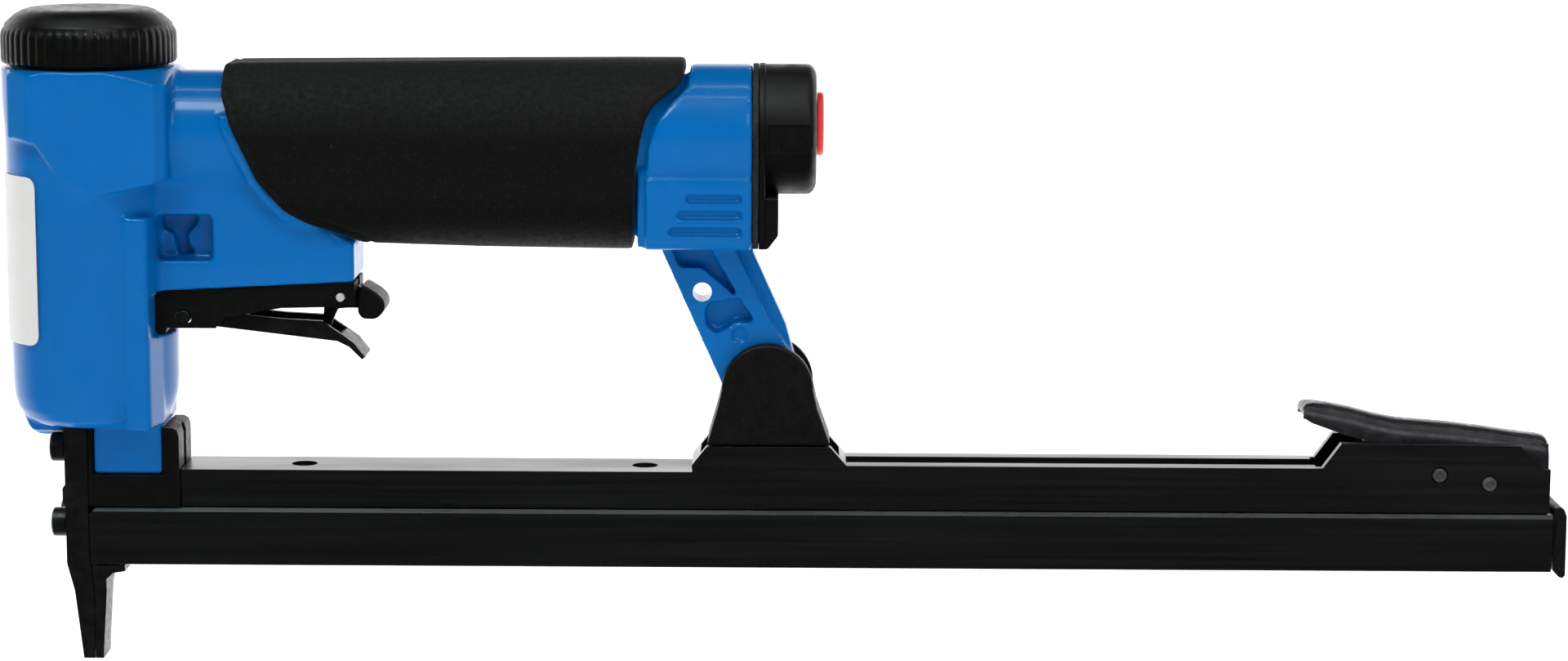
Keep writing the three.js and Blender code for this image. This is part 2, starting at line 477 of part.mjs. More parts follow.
function magazineRail() {
  const { half, bottom, top, frontTop, x0, x1 } = RAIL;
  const { half: g, ceiling, webTop, slotHalf, cheekHalf } = GROOVE;
  const section = (z) => mirrored([[g, footZ], [footHalf, footZ], [footHalf, neckZ], [neckHalf, neckZ],
    [neckHalf, bottom], [half, bottom], [half, z]]);
  const rearHalf = mirrored([[g, footZ], [footHalf, footZ], [footHalf, neckZ], [neckHalf, neckZ],
    [neckHalf, bottom], [half, bottom], [half, top], [slotHalf, top], [slotHalf, webTop]]);
  const feet = [-1, 1].map((s) => beam(footOutline(s, bottom - GAP), footX, x0 + 1));
  return cut(
    join(beam(section(frontTop), x0, 137), beam(rearHalf, 136.6, x1), plate(TOWER_CHEEK, half),
      plate(LATCH_CHEEK, half), ...feet),
    block(x0 - 1, x1 + 1, -g, g, 20, ceiling),
    block(138.4, 169.4, -cheekHalf, cheekHalf, webTop, 60),
    block(276, x1 + 1, -cheekHalf, cheekHalf, webTop, 60),
    block(294, x1 + 1, -cheekHalf, cheekHalf, 40.9, 60),
    ...[RAIL_SCREW.front, RAIL_SCREW.rear].map((x) => rodZ(RAIL_SCREW.r + 0.25, 42.2, 50, x, 0, 16)),
    ...[RAIL_SCREW.front, RAIL_SCREW.rear].map((x) => rodZ(RAIL_SCREW.headR + GAP, 43.5, 50, x, 0, 20)),
    rodY(1.9, -10, 10, LATCH.x, LATCH.z),
    rodY(STOP_PIN.r + 0.25, -10, 10, STOP_PIN.x, STOP_PIN.z),
    rodY(1.75, -6.6, 10, TOWER.pivotX, CROSS_PIN_Z, 16),
    ...[-1, 1].map((s) => rodX(NOSE_SCREW.r + 0.25, 2, 12, s * NOSE_SCREW.y, NOSE_SCREW.lowerZ, 16)));
}
piece('magazine_rail', magazineRail(), blackAnodised);
for (const end of ['front', 'rear']) {
  const { r, headR, headZ, top } = RAIL_SCREW;
  const x = RAIL_SCREW[end];
  const profile = [[0, 42.5], [r, 42.5], [r, headZ], [headR, headZ], [headR, top], [0, top]];
  const screw = turned(profile, 'z', [x, 0, 0], 16);
  piece(`rail_screw_${end}`, cut(screw, rodZ(1.1, top - 0.6, 46, x, 0, 6)), blackSteel);
}

function towerClevis() {
  const { x0, x1, pivotX: px, pivotZ: pz, domeR, cheekTop } = TOWER;
  const side = new THREE.Shape();
  side.moveTo(x0, cheekTop + GAP);
  side.lineTo(x1, cheekTop + GAP);
  side.lineTo(164.4, 60.2);
  side.lineTo(px + domeR, pz);
  side.absarc(px, pz, domeR, 0, Math.PI, false);
  side.lineTo(142.2, 60.2);
  side.closePath();
  const foot = block(x0 + 1, x1 - 1, -5.2, 5.2, GROOVE.webTop + 0.2, 54);
  return cut(join(plate(side, RAIL.half), foot),
    rodY(9.6, -5.1, 5.1, px, pz, 28), block(px - 15, px + 15, -5.1, 5.1, pz - 3.4, 80),
    rodY(1.9, -6.4, 10, px, pz, 16), rodY(1.75, -6.4, 10, px, CROSS_PIN_Z, 16));
}
piece('tower_clevis', towerClevis(), blackPlastic);

function towerScrew() {
  const { pivotX: px, pivotZ: pz } = TOWER;
  const seat = RAIL.half + 0.2;
  const top = seat + 2.2;
  const body = turned([[0, -6.1], [1.6, -6.1], [1.6, seat], [3.1, seat], [3.1, top - 0.4], [2.7, top], [0, top]],
    'y', [px, 0, pz], 20);
  return cut(body, rodY(1.3, seat + 0.6, 12, px, pz, 6));
}
piece('tower_screw', towerScrew(), blackSteel);
piece('tower_cross_pin', rodY(1.45, -6.1, 7.6, TOWER.pivotX, CROSS_PIN_Z, 16), blackSteel);

const LEVER_TOP = [[272.8, 61], [275.5, 61.3], [284, 60.6], [293, 59.6], [303, 58.6], [313, 57.2], [320, 55.6],
  [326.8, 54.2]];
const LEVER_LOW = [[326.9, 48.4], [325, 46.6], [310, 46.9], [307.4, 43.8], [305.2, 42.5], [301.6, 42.5],
  [299.4, 44.2], [297.5, 47.6], [291, 52.2], [282, 54.6], [274.4, 57.3], [272.8, 58.6]];

function latchLever() {
  const { x, z, half, skirt } = LATCH;
  const inside = [[270, 57.4], [284, 58.9], [293, 57.9], [303, 56.9], [313, 55.5], [320, 53.9], [325.2, 52.7],
    [325.2, 38], [270, 38]];
  const claw = [[324, 50], [324, 41.2], [325.2, 40.4], [327.2, 40.4], [327.2, 50]];
  return cut(join(cut(plate([...LEVER_TOP, ...LEVER_LOW], half), plate(inside, half - skirt)), plate(claw, 2.6)),
    rodY(1.9, -9, 9, x, z));
}
piece('latch_lever', latchLever(), blackSteel);
piece('latch_pivot_pin', rodY(1.6, -7.85, 7.85, LATCH.x, LATCH.z), blackSteel);
piece('latch_stop_pin', rodY(STOP_PIN.r, -7.85, 7.85, STOP_PIN.x, STOP_PIN.z), blackSteel);
piece('latch_spring', ringZ(1.3, 2.3, GROOVE.webTop + 0.2, 57.7, 289, 20), greySteel);

// ---------- sliding magazine ----------
function slideChannel() {
  const { x0, x1, half, wall, bottom, top, lip } = CHANNEL;
  const inner = half - wall;
  const outline = mirrored([[half - 1.2, bottom], [half - 0.3, bottom + 0.3], [half, bottom + 1.2],
    [half, top - 0.8], [half - 0.8, top], [lip, top], [lip, top - wall], [inner, top - wall], [inner, bottom + wall]]);
  return cut(beam(outline, x0, x1),
    block(x0 - 1, footX + GAP, -inner - 0.05, inner + 0.05, 20, 30),
    plate([[x0 - 1, top + 1], [x0 - 1, top - 1.5], [x0, top - 1.5], [x0 + 1.5, top], [x0 + 1.5, top + 1]], 20));
}
piece('slide_channel', slideChannel(), blackAnodised);
piece('slide_core', block(4, 314.7, -2, 2, 25.9, 34.6), greySteel);
piece('guide_rod', rodX(ROD.r, ROD.x0, ROD.x1, 0, ROD.z, 12), greySteel);
const TAB_RIVET = { z: 33.4, r: 1.2, headR: 2.4, x0: 322.6, coneX: 330.8, x1: 332.1 };
piece('slide_end_block', cut(plate([[315, 25.9], [328.5, 25.9], [328.5, 38.4], [326, 40], [315, 40]], 2.8),
  rodX(TAB_RIVET.r + GAP, 322, 330, 0, TAB_RIVET.z, 12)), blackPlastic);

const TAB_SIDE = [[329.5, 24.2], [329.5, 27.2], [329.1, 27.6], [329.1, 36.9], [329.6, 38.4], [330.6, 38.9],
  [331.6, 38.2], [332.2, 36.6], [332.3, 23.2], [331.8, 22.5], [330.9, 22.7]];
function pullTab() {
  const { z, r, headR, coneX, x1 } = TAB_RIVET;
  const hole = r + GAP;
  const rim = headR + GAP;
  const seat = turned([[0, 320], [hole, 320], [hole, coneX], [rim, x1], [rim, 336], [0, 336]], 'x', [0, 0, z], 16);
  return cut(plate(TAB_SIDE, 7.4), seat);
}
piece('pull_tab', pullTab(), blackPlastic);

function tabRivet() {
  const { z, r, headR, x0, coneX, x1 } = TAB_RIVET;
  return turned([[0, x0], [r, x0], [r, coneX], [headR, x1], [0, x1]], 'x', [0, 0, z], 16);
}
piece('tab_rivet', tabRivet(), greySteel);

function pusher() {
  const body = block(4.2, 40, -2.85, 2.85, 27, 36.4);
  const carrier = block(26, 38, -2.6, 2.6, 35, 40.7);
  return cut(join(body, carrier), block(3, 42, -2.3, 2.3, 20, 34.9), rodX(1.3, 20, 42, 0, ROD.z, 16));
}
piece('pusher', pusher(), blackSteel);
piece('pusher_spring', ringX(1.25, 1.95, 38.3, ROD.x1, ROD.z, 12), greySteel);

// ---------- blank name plate, bent round the barrel ----------
function nameLabel() {
  const { x } = BARREL;
  const shell = ringZ(18.95, 19.35, 74.6, 112, x, 64);
  return shell.intersect(block(-25, -6.8, -30, -9, 74.6, 112));
}
piece('name_label', nameLabel(), label);

export default gun;
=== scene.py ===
"""Compressed-air staple gun: the finished look of every piece, built round its CAD frame."""
import math

import bmesh
import bpy
from bpy.props import FloatProperty, FloatVectorProperty, IntProperty, PointerProperty
from mathutils import Matrix, Vector


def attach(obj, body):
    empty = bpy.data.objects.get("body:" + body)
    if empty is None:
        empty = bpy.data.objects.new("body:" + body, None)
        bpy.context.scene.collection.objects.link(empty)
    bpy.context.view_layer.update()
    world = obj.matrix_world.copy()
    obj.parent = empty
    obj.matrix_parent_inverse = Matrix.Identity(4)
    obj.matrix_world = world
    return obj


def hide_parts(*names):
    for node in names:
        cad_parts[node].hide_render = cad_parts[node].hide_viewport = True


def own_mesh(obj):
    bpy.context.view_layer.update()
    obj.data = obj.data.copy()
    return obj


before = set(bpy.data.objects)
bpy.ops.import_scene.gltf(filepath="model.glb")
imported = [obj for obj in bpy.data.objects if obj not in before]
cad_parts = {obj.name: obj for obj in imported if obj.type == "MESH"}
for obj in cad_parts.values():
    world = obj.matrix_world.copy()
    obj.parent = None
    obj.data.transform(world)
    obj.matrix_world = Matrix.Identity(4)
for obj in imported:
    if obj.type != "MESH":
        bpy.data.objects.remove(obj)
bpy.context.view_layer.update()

bl_info = {
    "name": "Compressed-air staple gun",
    "version": (1, 0, 0),
    "blender": (4, 5, 0),
    "location": "View3D > Sidebar > Staple gun",
    "description": "Builds a long-magazine staple gun, piece by piece",
    "category": "Add Mesh",
}

MM = 0.001
FINE_STEPS = 96
SHARP = math.radians(34)
CRISP = math.radians(28)
FIRM = math.radians(40)
SOFT = math.radians(50)
VERY_SOFT = math.radians(70)
STRAIGHT = math.radians(176)
FOLDED = math.radians(2)
MERGE = 1e-5

# Places that several pieces share, in millimetres: X runs to the rear, Z up, Y = 0 is the middle plane.
# Heights are measured from a datum FOOT_Z below the nose foot, and from_bmesh lowers every finished
# solid by as much.
FOOT_Z = 1.5
BARREL_X = 2.9
HANDLE_Z = 120.35
DUCT_HALF = 13.9
BOX_HALF = 15.0
INLET_Z = 123.05
END_CAP_Z = 121.85
END_CAP_R = 14.65
TOWER = (153.3, 64.3)
TRIGGER_PIVOT = (23.9, 80.1)
SAFETY_PIVOT = (58.7, 84.8)
LATCH_PIVOT = (303.4, 45.9)
STOP_PIN = (314.6, 44.0)
SCREW_Y = 5.2
UPPER_SCREW_Z = 50.3
LOWER_SCREW_Z = 33.2
END_SCREW = (9.2, 101.4)
HANGING_HOLE = (138.7, 85.9)
VALVE_X = 36
GUIDE_ROD_Z = 38.7
CROSS_PIN_Z = 47.4
SIDES = (("left", -1), ("right", 1))
WIDE = 20
FAR_END = 170


# ---------- sizes and colours ----------
class GunSizes(bpy.types.PropertyGroup):
    flutes: IntProperty(
        name="Flutes", description="Finger flutes round the cap", default=54, min=12)
    flute_depth: FloatProperty(
        name="Flute depth", description="Depth of a cap flute in millimetres", default=0.26, min=0.0)
    voxel: FloatProperty(
        name="Casting voxel", description="Voxel of the cast body in millimetres", default=0.48, min=0.3)
    foam_voxel: FloatProperty(
        name="Foam voxel", description="Voxel of the foam grip in millimetres", default=0.5, min=0.3)
    lens: FloatProperty(
        name="Lens", description="Focal length of the camera in millimetres", default=83.1, min=10.0)
    key: FloatProperty(
        name="Key light", description="Power of the key light", default=9.8, min=0.0, subtype="POWER")
    fill: FloatProperty(
        name="Fill light", description="Power of the fill light", default=6.2, min=0.0, subtype="POWER")


def colour_property(name, description, default):
    return FloatVectorProperty(name=name, description=description, subtype="COLOR", default=default)


class GunColours(bpy.types.PropertyGroup):
    paint: colour_property("Paint", "Body paint", (0.0003, 0.110, 0.355))
    foam: colour_property("Foam", "Grip foam", (0.0012, 0.0014, 0.0009))
    plastic: colour_property("Plastic", "Black plastic", (0.0022, 0.0026, 0.0018))
    anodised: colour_property("Anodised", "Magazine", (0.0030, 0.0033, 0.0030))
    plug: colour_property("Plug", "Red plug", (0.82, 0.038, 0.034))
    label: colour_property("Label", "Blank label", (0.62, 0.59, 0.575))


# ---------- making solids ----------
def from_bmesh(bm, name):
    """The bmesh as a new object at the origin, in metres."""
    bmesh.ops.recalc_face_normals(bm, faces=bm.faces)
    bmesh.ops.translate(bm, verts=bm.verts, vec=(0, 0, -FOOT_Z))
    bmesh.ops.scale(bm, vec=(MM, MM, MM), verts=bm.verts)
    mesh = bpy.data.meshes.new(name)
    bm.to_mesh(mesh)
    bm.free()
    obj = bpy.data.objects.new(name, mesh)
    bpy.context.scene.collection.objects.link(obj)
    return obj


def soften_edges(bm, width, segments=3, angle=30):
    """Rounds every edge that turns more than the angle, in the bmesh's own unit."""
    limit = math.radians(angle)
    sharp = [e for e in bm.edges if len(e.link_faces) == 2 and e.calc_face_angle(0) > limit]
    if sharp and width > 0:
        bmesh.ops.bevel(bm, geom=sharp, offset=width, offset_type="OFFSET", segments=segments, profile=0.5,
                        affect="EDGES", clamp_overlap=True, material=-1)


def arcs(points, radius, steps=6):
    """A closed outline with rounded corners: one radius, or a dict of corner number to radius."""
    result = []
    count = len(points)
    for i, point in enumerate(points):
        r = radius.get(i, 0) if isinstance(radius, dict) else radius
        here, before, after = Vector(point), Vector(points[i - 1]), Vector(points[(i + 1) % count])
        a, b = (before - here), (after - here)
        room = 0.49 * min(a.length, b.length)
        turn = a.angle(b, math.pi)
        if r <= 0 or turn > STRAIGHT or turn < FOLDED:
            result.append(tuple(here))
            continue
        reach = min(room, r / math.tan(turn / 2))
        start, end = here + a.normalized() * reach, here + b.normalized() * reach
        for k in range(steps + 1):
            t = k / steps
            result.append(tuple(start.lerp(here, t).lerp(here.lerp(end, t), t)))
    return result


def arc(cx, cz, r, start, end, steps):
    """Points round a circle, angles in degrees."""
    return [(cx + r * math.cos(math.radians(start + (end - start) * k / steps)),
             cz + r * math.sin(math.radians(start + (end - start) * k / steps))) for k in range(steps + 1)]


def prism(points, low, high, axis="y", edge=0.0, segments=3, name="prism"):
    """An outline carried along an axis: (x, z) along Y, (y, z) along X, or (x, y) along Z."""
    place = {"x": lambda a, b: (low, a, b),
             "y": lambda a, b: (a, low, b),
             "z": lambda a, b: (a, b, low)}[axis]
    way = {"y": (0, 1, 0), "x": (1, 0, 0), "z": (0, 0, 1)}[axis]
    bm = bmesh.new()
    face = bm.faces.new([bm.verts.new(place(a, b)) for a, b in points])
    grown = bmesh.ops.extrude_face_region(bm, geom=[face])
    moved = [g for g in grown["geom"] if isinstance(g, bmesh.types.BMVert)]
    bmesh.ops.translate(bm, verts=moved, vec=Vector(way) * (high - low))
    bmesh.ops.remove_doubles(bm, verts=bm.verts, dist=MERGE)
    bmesh.ops.recalc_face_normals(bm, faces=bm.faces)
    soften_edges(bm, edge, segments)
    return from_bmesh(bm, name)


def block(x0, x1, y0, y1, z0, z1, edge=0.0, segments=3):
    """A box with rounded edges."""
    bm = bmesh.new()
    bmesh.ops.create_cube(bm, size=1)
    bmesh.ops.scale(bm, vec=(x1 - x0, y1 - y0, z1 - z0), verts=bm.verts)
    bmesh.ops.translate(bm, vec=((x0 + x1) / 2, (y0 + y1) / 2, (z0 + z1) / 2), verts=bm.verts)
    soften_edges(bm, edge, segments)
    return from_bmesh(bm, "block")


def turned(profile, axis, centre, steps=FINE_STEPS, name="turned"):
    """A profile of (radius, height) pairs spun round an axis through the centre."""
    bm = bmesh.new()
    verts = [bm.verts.new((r, 0, h)) for r, h in profile]
    closed = profile[0] == profile[-1]
    if closed:
        bm.verts.remove(verts.pop())
    edges = [bm.edges.new(pair) for pair in zip(verts, verts[1:])]
    if closed:
        edges.append(bm.edges.new((verts[-1], verts[0])))
    bmesh.ops.spin(bm, geom=verts + edges, cent=(0, 0, 0), axis=(0, 0, 1), angle=2 * math.pi, steps=steps,
                   use_merge=True)
    bmesh.ops.remove_doubles(bm, verts=bm.verts, dist=MERGE)
    turn = {"z": Matrix.Identity(3), "x": Matrix.Rotation(math.pi / 2, 3, "Y"),
            "y": Matrix.Rotation(-math.pi / 2, 3, "X")}[axis]
    bmesh.ops.rotate(bm, verts=bm.verts, cent=(0, 0, 0), matrix=turn)
    bmesh.ops.translate(bm, verts=bm.verts, vec=centre)
    return from_bmesh(bm, name)


def rod(r, low, high, axis, centre, edge=0.0, steps=48):
    """A plain round bar with chamfered ends."""
    if edge <= 0:
        return turned([(0, low), (r, low), (r, high), (0, high)], axis, centre, steps)
    profile = [(0, low), (r - edge, low), (r, low + edge), (r, high - edge), (r - edge, high), (0, high)]
    return turned(profile, axis, centre, steps)


def bake(obj):
    """Applies an object's modifiers to its mesh."""
    graph = bpy.context.evaluated_depsgraph_get()
    mesh = bpy.data.meshes.new_from_object(obj.evaluated_get(graph))
    obj.modifiers.clear()
    old = obj.data
    obj.data = mesh
    bpy.data.meshes.remove(old)
    return obj


def combine(base, tools, operation):
    """Exact boolean of a base with several closed tools, which are used up."""
    group = bpy.data.collections.new("tools")
    for tool in tools:
        group.objects.link(tool)
    bpy.context.scene.collection.children.link(group)
    step = base.modifiers.new("boolean", "BOOLEAN")
    step.operation = operation
    step.operand_type = "COLLECTION"
    step.collection = group
    step.solver = "EXACT"
    step.use_self = operation == "DIFFERENCE" and len(tools) > 1
    bpy.context.view_layer.update()
    bake(base)
    for tool in tools:
        bpy.data.objects.remove(tool)
    bpy.data.collections.remove(group)
    return base


def cut(base, *tools):
    return combine(base, list(tools), "DIFFERENCE")


def melted(parts, voxel, rounds, name, ratio=1.0):
    """Closed solids fused into one skin whose corners are softened, as a casting's are."""
    whole = bmesh.new()
    for part in parts:
        whole.from_mesh(part.data)
        bpy.data.objects.remove(part)
    mesh = bpy.data.meshes.new(name)
    whole.to_mesh(mesh)
    whole.free()
    obj = bpy.data.objects.new(name, mesh)
    bpy.context.scene.collection.objects.link(obj)
    remesh = obj.modifiers.new("remesh", "REMESH")
    remesh.mode = "VOXEL"
    remesh.voxel_size = voxel * MM
    relax = obj.modifiers.new("relax", "SMOOTH")
    relax.factor = 0.5
    relax.iterations = rounds
    if ratio < 1:
        thin = obj.modifiers.new("thin", "DECIMATE")
        thin.ratio = ratio
    return bake(obj)


def shaded(obj, angle=SHARP):
    """Smooth shading that breaks at real edges, with the large faces kept flat."""
    mesh = obj.data
    mesh.polygons.foreach_set("use_smooth", [True] * len(mesh.polygons))
    mesh.set_sharp_from_angle(angle=angle)
    weigh = obj.modifiers.new("weighted_normal", "WEIGHTED_NORMAL")
    weigh.keep_sharp = True
    return obj


def show(obj, name, body, finish, nodes, angle=SHARP):
    """Names a finished piece, gives it its finish, and puts it in the place of its CAD nodes."""
    obj.name = name
    obj.data.name = name
    obj.data.materials.clear()
    obj.data.materials.append(finish)
    shaded(obj, angle)
    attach(obj, body)
    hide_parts(*nodes)
    return obj


def dressed(node, body, finish, edge=0.3, segments=2, angle=30):
    """A CAD node's own shape with its loose triangles merged and its edges eased."""
    bm = bmesh.new()
    bm.from_mesh(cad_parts[node].data)
    bmesh.ops.remove_doubles(bm, verts=bm.verts, dist=2e-6)
    bmesh.ops.dissolve_limit(bm, angle_limit=math.radians(0.6), verts=bm.verts, edges=bm.edges)
    soften_edges(bm, edge * MM, segments, angle)
    mesh = bpy.data.meshes.new(node)
    bm.to_mesh(mesh)
    bm.free()
    obj = bpy.data.objects.new(node, mesh)
    bpy.context.scene.collection.objects.link(obj)
    return show(obj, node + "_finished", body, finish, [node])


# ---------- finishes ----------
class Nodes:
    """A short way to write a node material: each call adds one node and links its inputs."""

    def __init__(self, name, colour, roughness, metallic=0.0, **fixed):
        self.material = bpy.data.materials.new(name)
        self.material.use_nodes = True
        self.tree = self.material.node_tree
        self.shader = self.tree.nodes["Principled BSDF"]
        self.shader.inputs["Base Color"].default_value = (*colour, 1)
        self.shader.inputs["Roughness"].default_value = roughness
        self.shader.inputs["Metallic"].default_value = metallic
        for key, value in fixed.items():
            self.shader.inputs[key.replace("_", " ")].default_value = value
        self.place = self.tree.nodes.new("ShaderNodeTexCoord").outputs["Object"]

    def add(self, kind, outputs=0, settings=(), **inputs):
        node = self.tree.nodes.new(kind)
        for key, value in settings:
            setattr(node, key, value)
        for key, value in inputs.items():
            socket = node.inputs[int(key[1:])] if key[0] == "i" and key[1:].isdigit() else node.inputs[key]
            if isinstance(value, bpy.types.NodeSocket):
                self.tree.links.new(value, socket)
            else:
                socket.default_value = value
        return node.outputs[outputs]

    def noise(self, scale, detail=3.0, stretch=(1, 1, 1), roughness=0.55):
        place = self.place
        if stretch != (1, 1, 1):
            place = self.add("ShaderNodeMapping", Vector=self.place, Scale=stretch)
        return self.add("ShaderNodeTexNoise", Vector=place, Scale=scale, Detail=detail, Roughness=roughness)

    def ramp(self, value, low, high, to_low=0.0, to_high=1.0):
        return self.add("ShaderNodeMapRange", Value=value, i1=low, i2=high, i3=to_low, i4=to_high)

    def mix(self, factor, first, second):
        settings = (("data_type", "RGBA"),)
        return self.add("ShaderNodeMix", 2, settings, i0=factor, i6=(*first, 1), i7=(*second, 1))

    def colour(self, factor, first, second):
        self.tree.links.new(self.mix(factor, first, second), self.shader.inputs["Base Color"])

    def roughness(self, value):
        self.tree.links.new(value, self.shader.inputs["Roughness"])

    def bump(self, height, strength, distance, below=None):
        inputs = {"Strength": strength, "Distance": distance * MM, "Height": height}
        if below is not None:
            inputs["Normal"] = below
        normal = self.add("ShaderNodeBump", **inputs)
        self.tree.links.new(normal, self.shader.inputs["Normal"])
        return normal


def times(colour, factor):
    return tuple(channel * factor for channel in colour)


def gloss_paint(colour):
    m = Nodes("gloss_paint", colour, 0.26, Coat_Weight=0.16, Coat_Roughness=0.1, Specular_IOR_Level=0.13)
    m.colour(m.ramp(m.noise(30, 2), 0.3, 0.7), times(colour, 0.94), times(colour, 1.05))
    m.roughness(m.ramp(m.noise(160, 4), 0.3, 0.7, 0.2, 0.3))
    fine = m.bump(m.noise(1500, 2), 0.08, 0.04)
    m.bump(m.noise(260, 1), 0.02, 0.1, fine)
    return m.material


def foam_rubber(colour):
    m = Nodes("foam_rubber", colour, 0.8, Specular_IOR_Level=0.2, Sheen_Weight=0.04, Sheen_Roughness=0.5)
    specks = m.ramp(m.noise(2600, 3, roughness=0.7), 0.6, 0.8)
    m.colour(specks, colour, (0.03, 0.03, 0.027))
    m.roughness(m.ramp(m.noise(900, 3), 0.3, 0.7, 0.62, 0.86))
    pores = m.bump(m.noise(2600, 3, roughness=0.7), 0.5, 0.16)
    m.bump(m.noise(560, 3), 0.32, 0.25, pores)
    return m.material


def moulded_plastic(name, colour, roughness=0.46, grain=0.22):
    m = Nodes(name, colour, roughness, Specular_IOR_Level=0.22)
    m.colour(m.ramp(m.noise(1900, 2), 0.55, 0.78), colour, times(colour, 2.6))
    m.roughness(m.ramp(m.noise(420, 3), 0.3, 0.7, roughness - 0.08, roughness + 0.1))
    grainy = m.bump(m.noise(2200, 2), grain, 0.09)
    m.bump(m.noise(90, 2), 0.05, 0.3, grainy)
    return m.material


def anodised(colour):
    m = Nodes("anodised", colour, 0.3, 0.0, Specular_IOR_Level=0.62)
    drawn = m.noise(900, 3, (0.012, 1, 1))
    m.colour(m.ramp(drawn, 0.35, 0.7), times(colour, 0.8), times(colour, 1.7))
    m.roughness(m.ramp(m.noise(120, 4, (0.15, 1, 1)), 0.3, 0.7, 0.22, 0.36))
    lines = m.bump(drawn, 0.10, 0.05)
    m.bump(m.noise(2400, 2), 0.06, 0.04, lines)
    return m.material


def black_steel(name="black_steel", colour=(0.0030, 0.0032, 0.0029), roughness=0.36, shine=0.32):
    m = Nodes(name, colour, roughness, 0.0, Specular_IOR_Level=shine)
    m.colour(m.ramp(m.noise(300, 4), 0.45, 0.75), colour, times(colour, 2.4))
    m.roughness(m.ramp(m.noise(700, 3), 0.3, 0.7, roughness - 0.08, roughness + 0.12))
    m.bump(m.noise(1600, 3), 0.16, 0.06)
    return m.material


def bright_steel():
    m = Nodes("bright_steel", (0.52, 0.52, 0.53), 0.28, 1.0)
    ground = m.noise(1400, 3, (0.06, 1, 1))
    m.colour(m.ramp(ground, 0.3, 0.7), (0.42, 0.42, 0.43), (0.62, 0.62, 0.63))
    m.roughness(m.ramp(m.noise(380, 3), 0.3, 0.7, 0.2, 0.38))
    m.bump(ground, 0.10, 0.04)
    return m.material


def turned_brass():
    m = Nodes("turned_brass", (0.62, 0.42, 0.15), 0.3, 1.0)
    m.colour(m.ramp(m.noise(240, 3), 0.3, 0.7), (0.5, 0.33, 0.11), (0.7, 0.48, 0.19))
    m.roughness(m.ramp(m.noise(900, 2), 0.3, 0.7, 0.22, 0.4))
    m.bump(m.noise(1500, 2), 0.08, 0.04)
    return m.material


def seal_rubber():
    m = Nodes("seal_rubber", (0.010, 0.010, 0.010), 0.7, Specular_IOR_Level=0.3)
    m.colour(m.ramp(m.noise(800, 3), 0.4, 0.7), (0.008, 0.008, 0.008), (0.02, 0.02, 0.02))
    m.roughness(m.ramp(m.noise(600, 2), 0.3, 0.7, 0.6, 0.8))
    m.bump(m.noise(1800, 2), 0.2, 0.06)
    return m.material


def red_plastic(colour):
    m = Nodes("red_plastic", colour, 0.42, Specular_IOR_Level=0.35)
    m.colour(m.ramp(m.noise(300, 3), 0.3, 0.7), times(colour, 0.9), times(colour, 1.08))
    m.roughness(m.ramp(m.noise(900, 2), 0.3, 0.7, 0.36, 0.5))
    m.bump(m.noise(1600, 2), 0.12, 0.05)
    return m.material


def label_film(colour):
    m = Nodes("label_film", colour, 0.45, Coat_Weight=0.15, Coat_Roughness=0.3)
    m.colour(m.ramp(m.noise(120, 3), 0.3, 0.7), times(colour, 0.97), times(colour, 1.02))
    m.roughness(m.ramp(m.noise(600, 2), 0.3, 0.7, 0.4, 0.52))
    m.bump(m.noise(900, 2), 0.05, 0.03)
    return m.material


def pressed_felt():
    m = Nodes("pressed_felt", (0.24, 0.22, 0.18), 0.95)
    m.colour(m.ramp(m.noise(1300, 4), 0.3, 0.7), (0.16, 0.15, 0.12), (0.34, 0.31, 0.26))
    m.roughness(m.ramp(m.noise(500, 2), 0.3, 0.7, 0.85, 1.0))
    m.bump(m.noise(1700, 4), 0.8, 0.3)
    return m.material


FINISHES = {}


def finish_set(scene):
    """Makes each finish once."""
    if FINISHES:
        return FINISHES
    c = scene.gun_colours
    FINISHES.update(
        paint=gloss_paint(tuple(c.paint)),
        foam=foam_rubber(tuple(c.foam)),
        plastic=moulded_plastic("moulded_plastic", tuple(c.plastic)),
        cap=moulded_plastic("cap_plastic", tuple(c.plastic), 0.36, 0.3),
        tower=moulded_plastic("tower_plastic", times(tuple(c.plastic), 1.25), 0.5, 0.6),
        anodised=anodised(tuple(c.anodised)),
        black_steel=black_steel(),
        latch=black_steel("latch_steel", (0.0125, 0.0118, 0.0130), 0.3, 0.3),
        tab=moulded_plastic("tab_plastic", times(tuple(c.plastic), 2.2), 0.4),
        pin=black_steel("pin_steel", (0.045, 0.043, 0.040), 0.25, 0.6),
        pin_end=moulded_plastic("pin_end", (0.42, 0.37, 0.37), 0.4, 0.1),
        steel=bright_steel(),
        brass=turned_brass(),
        rubber=seal_rubber(),
        red=red_plastic(tuple(c.plug)),
        label=label_film(tuple(c.label)),
        felt=pressed_felt(),
    )
    return FINISHES


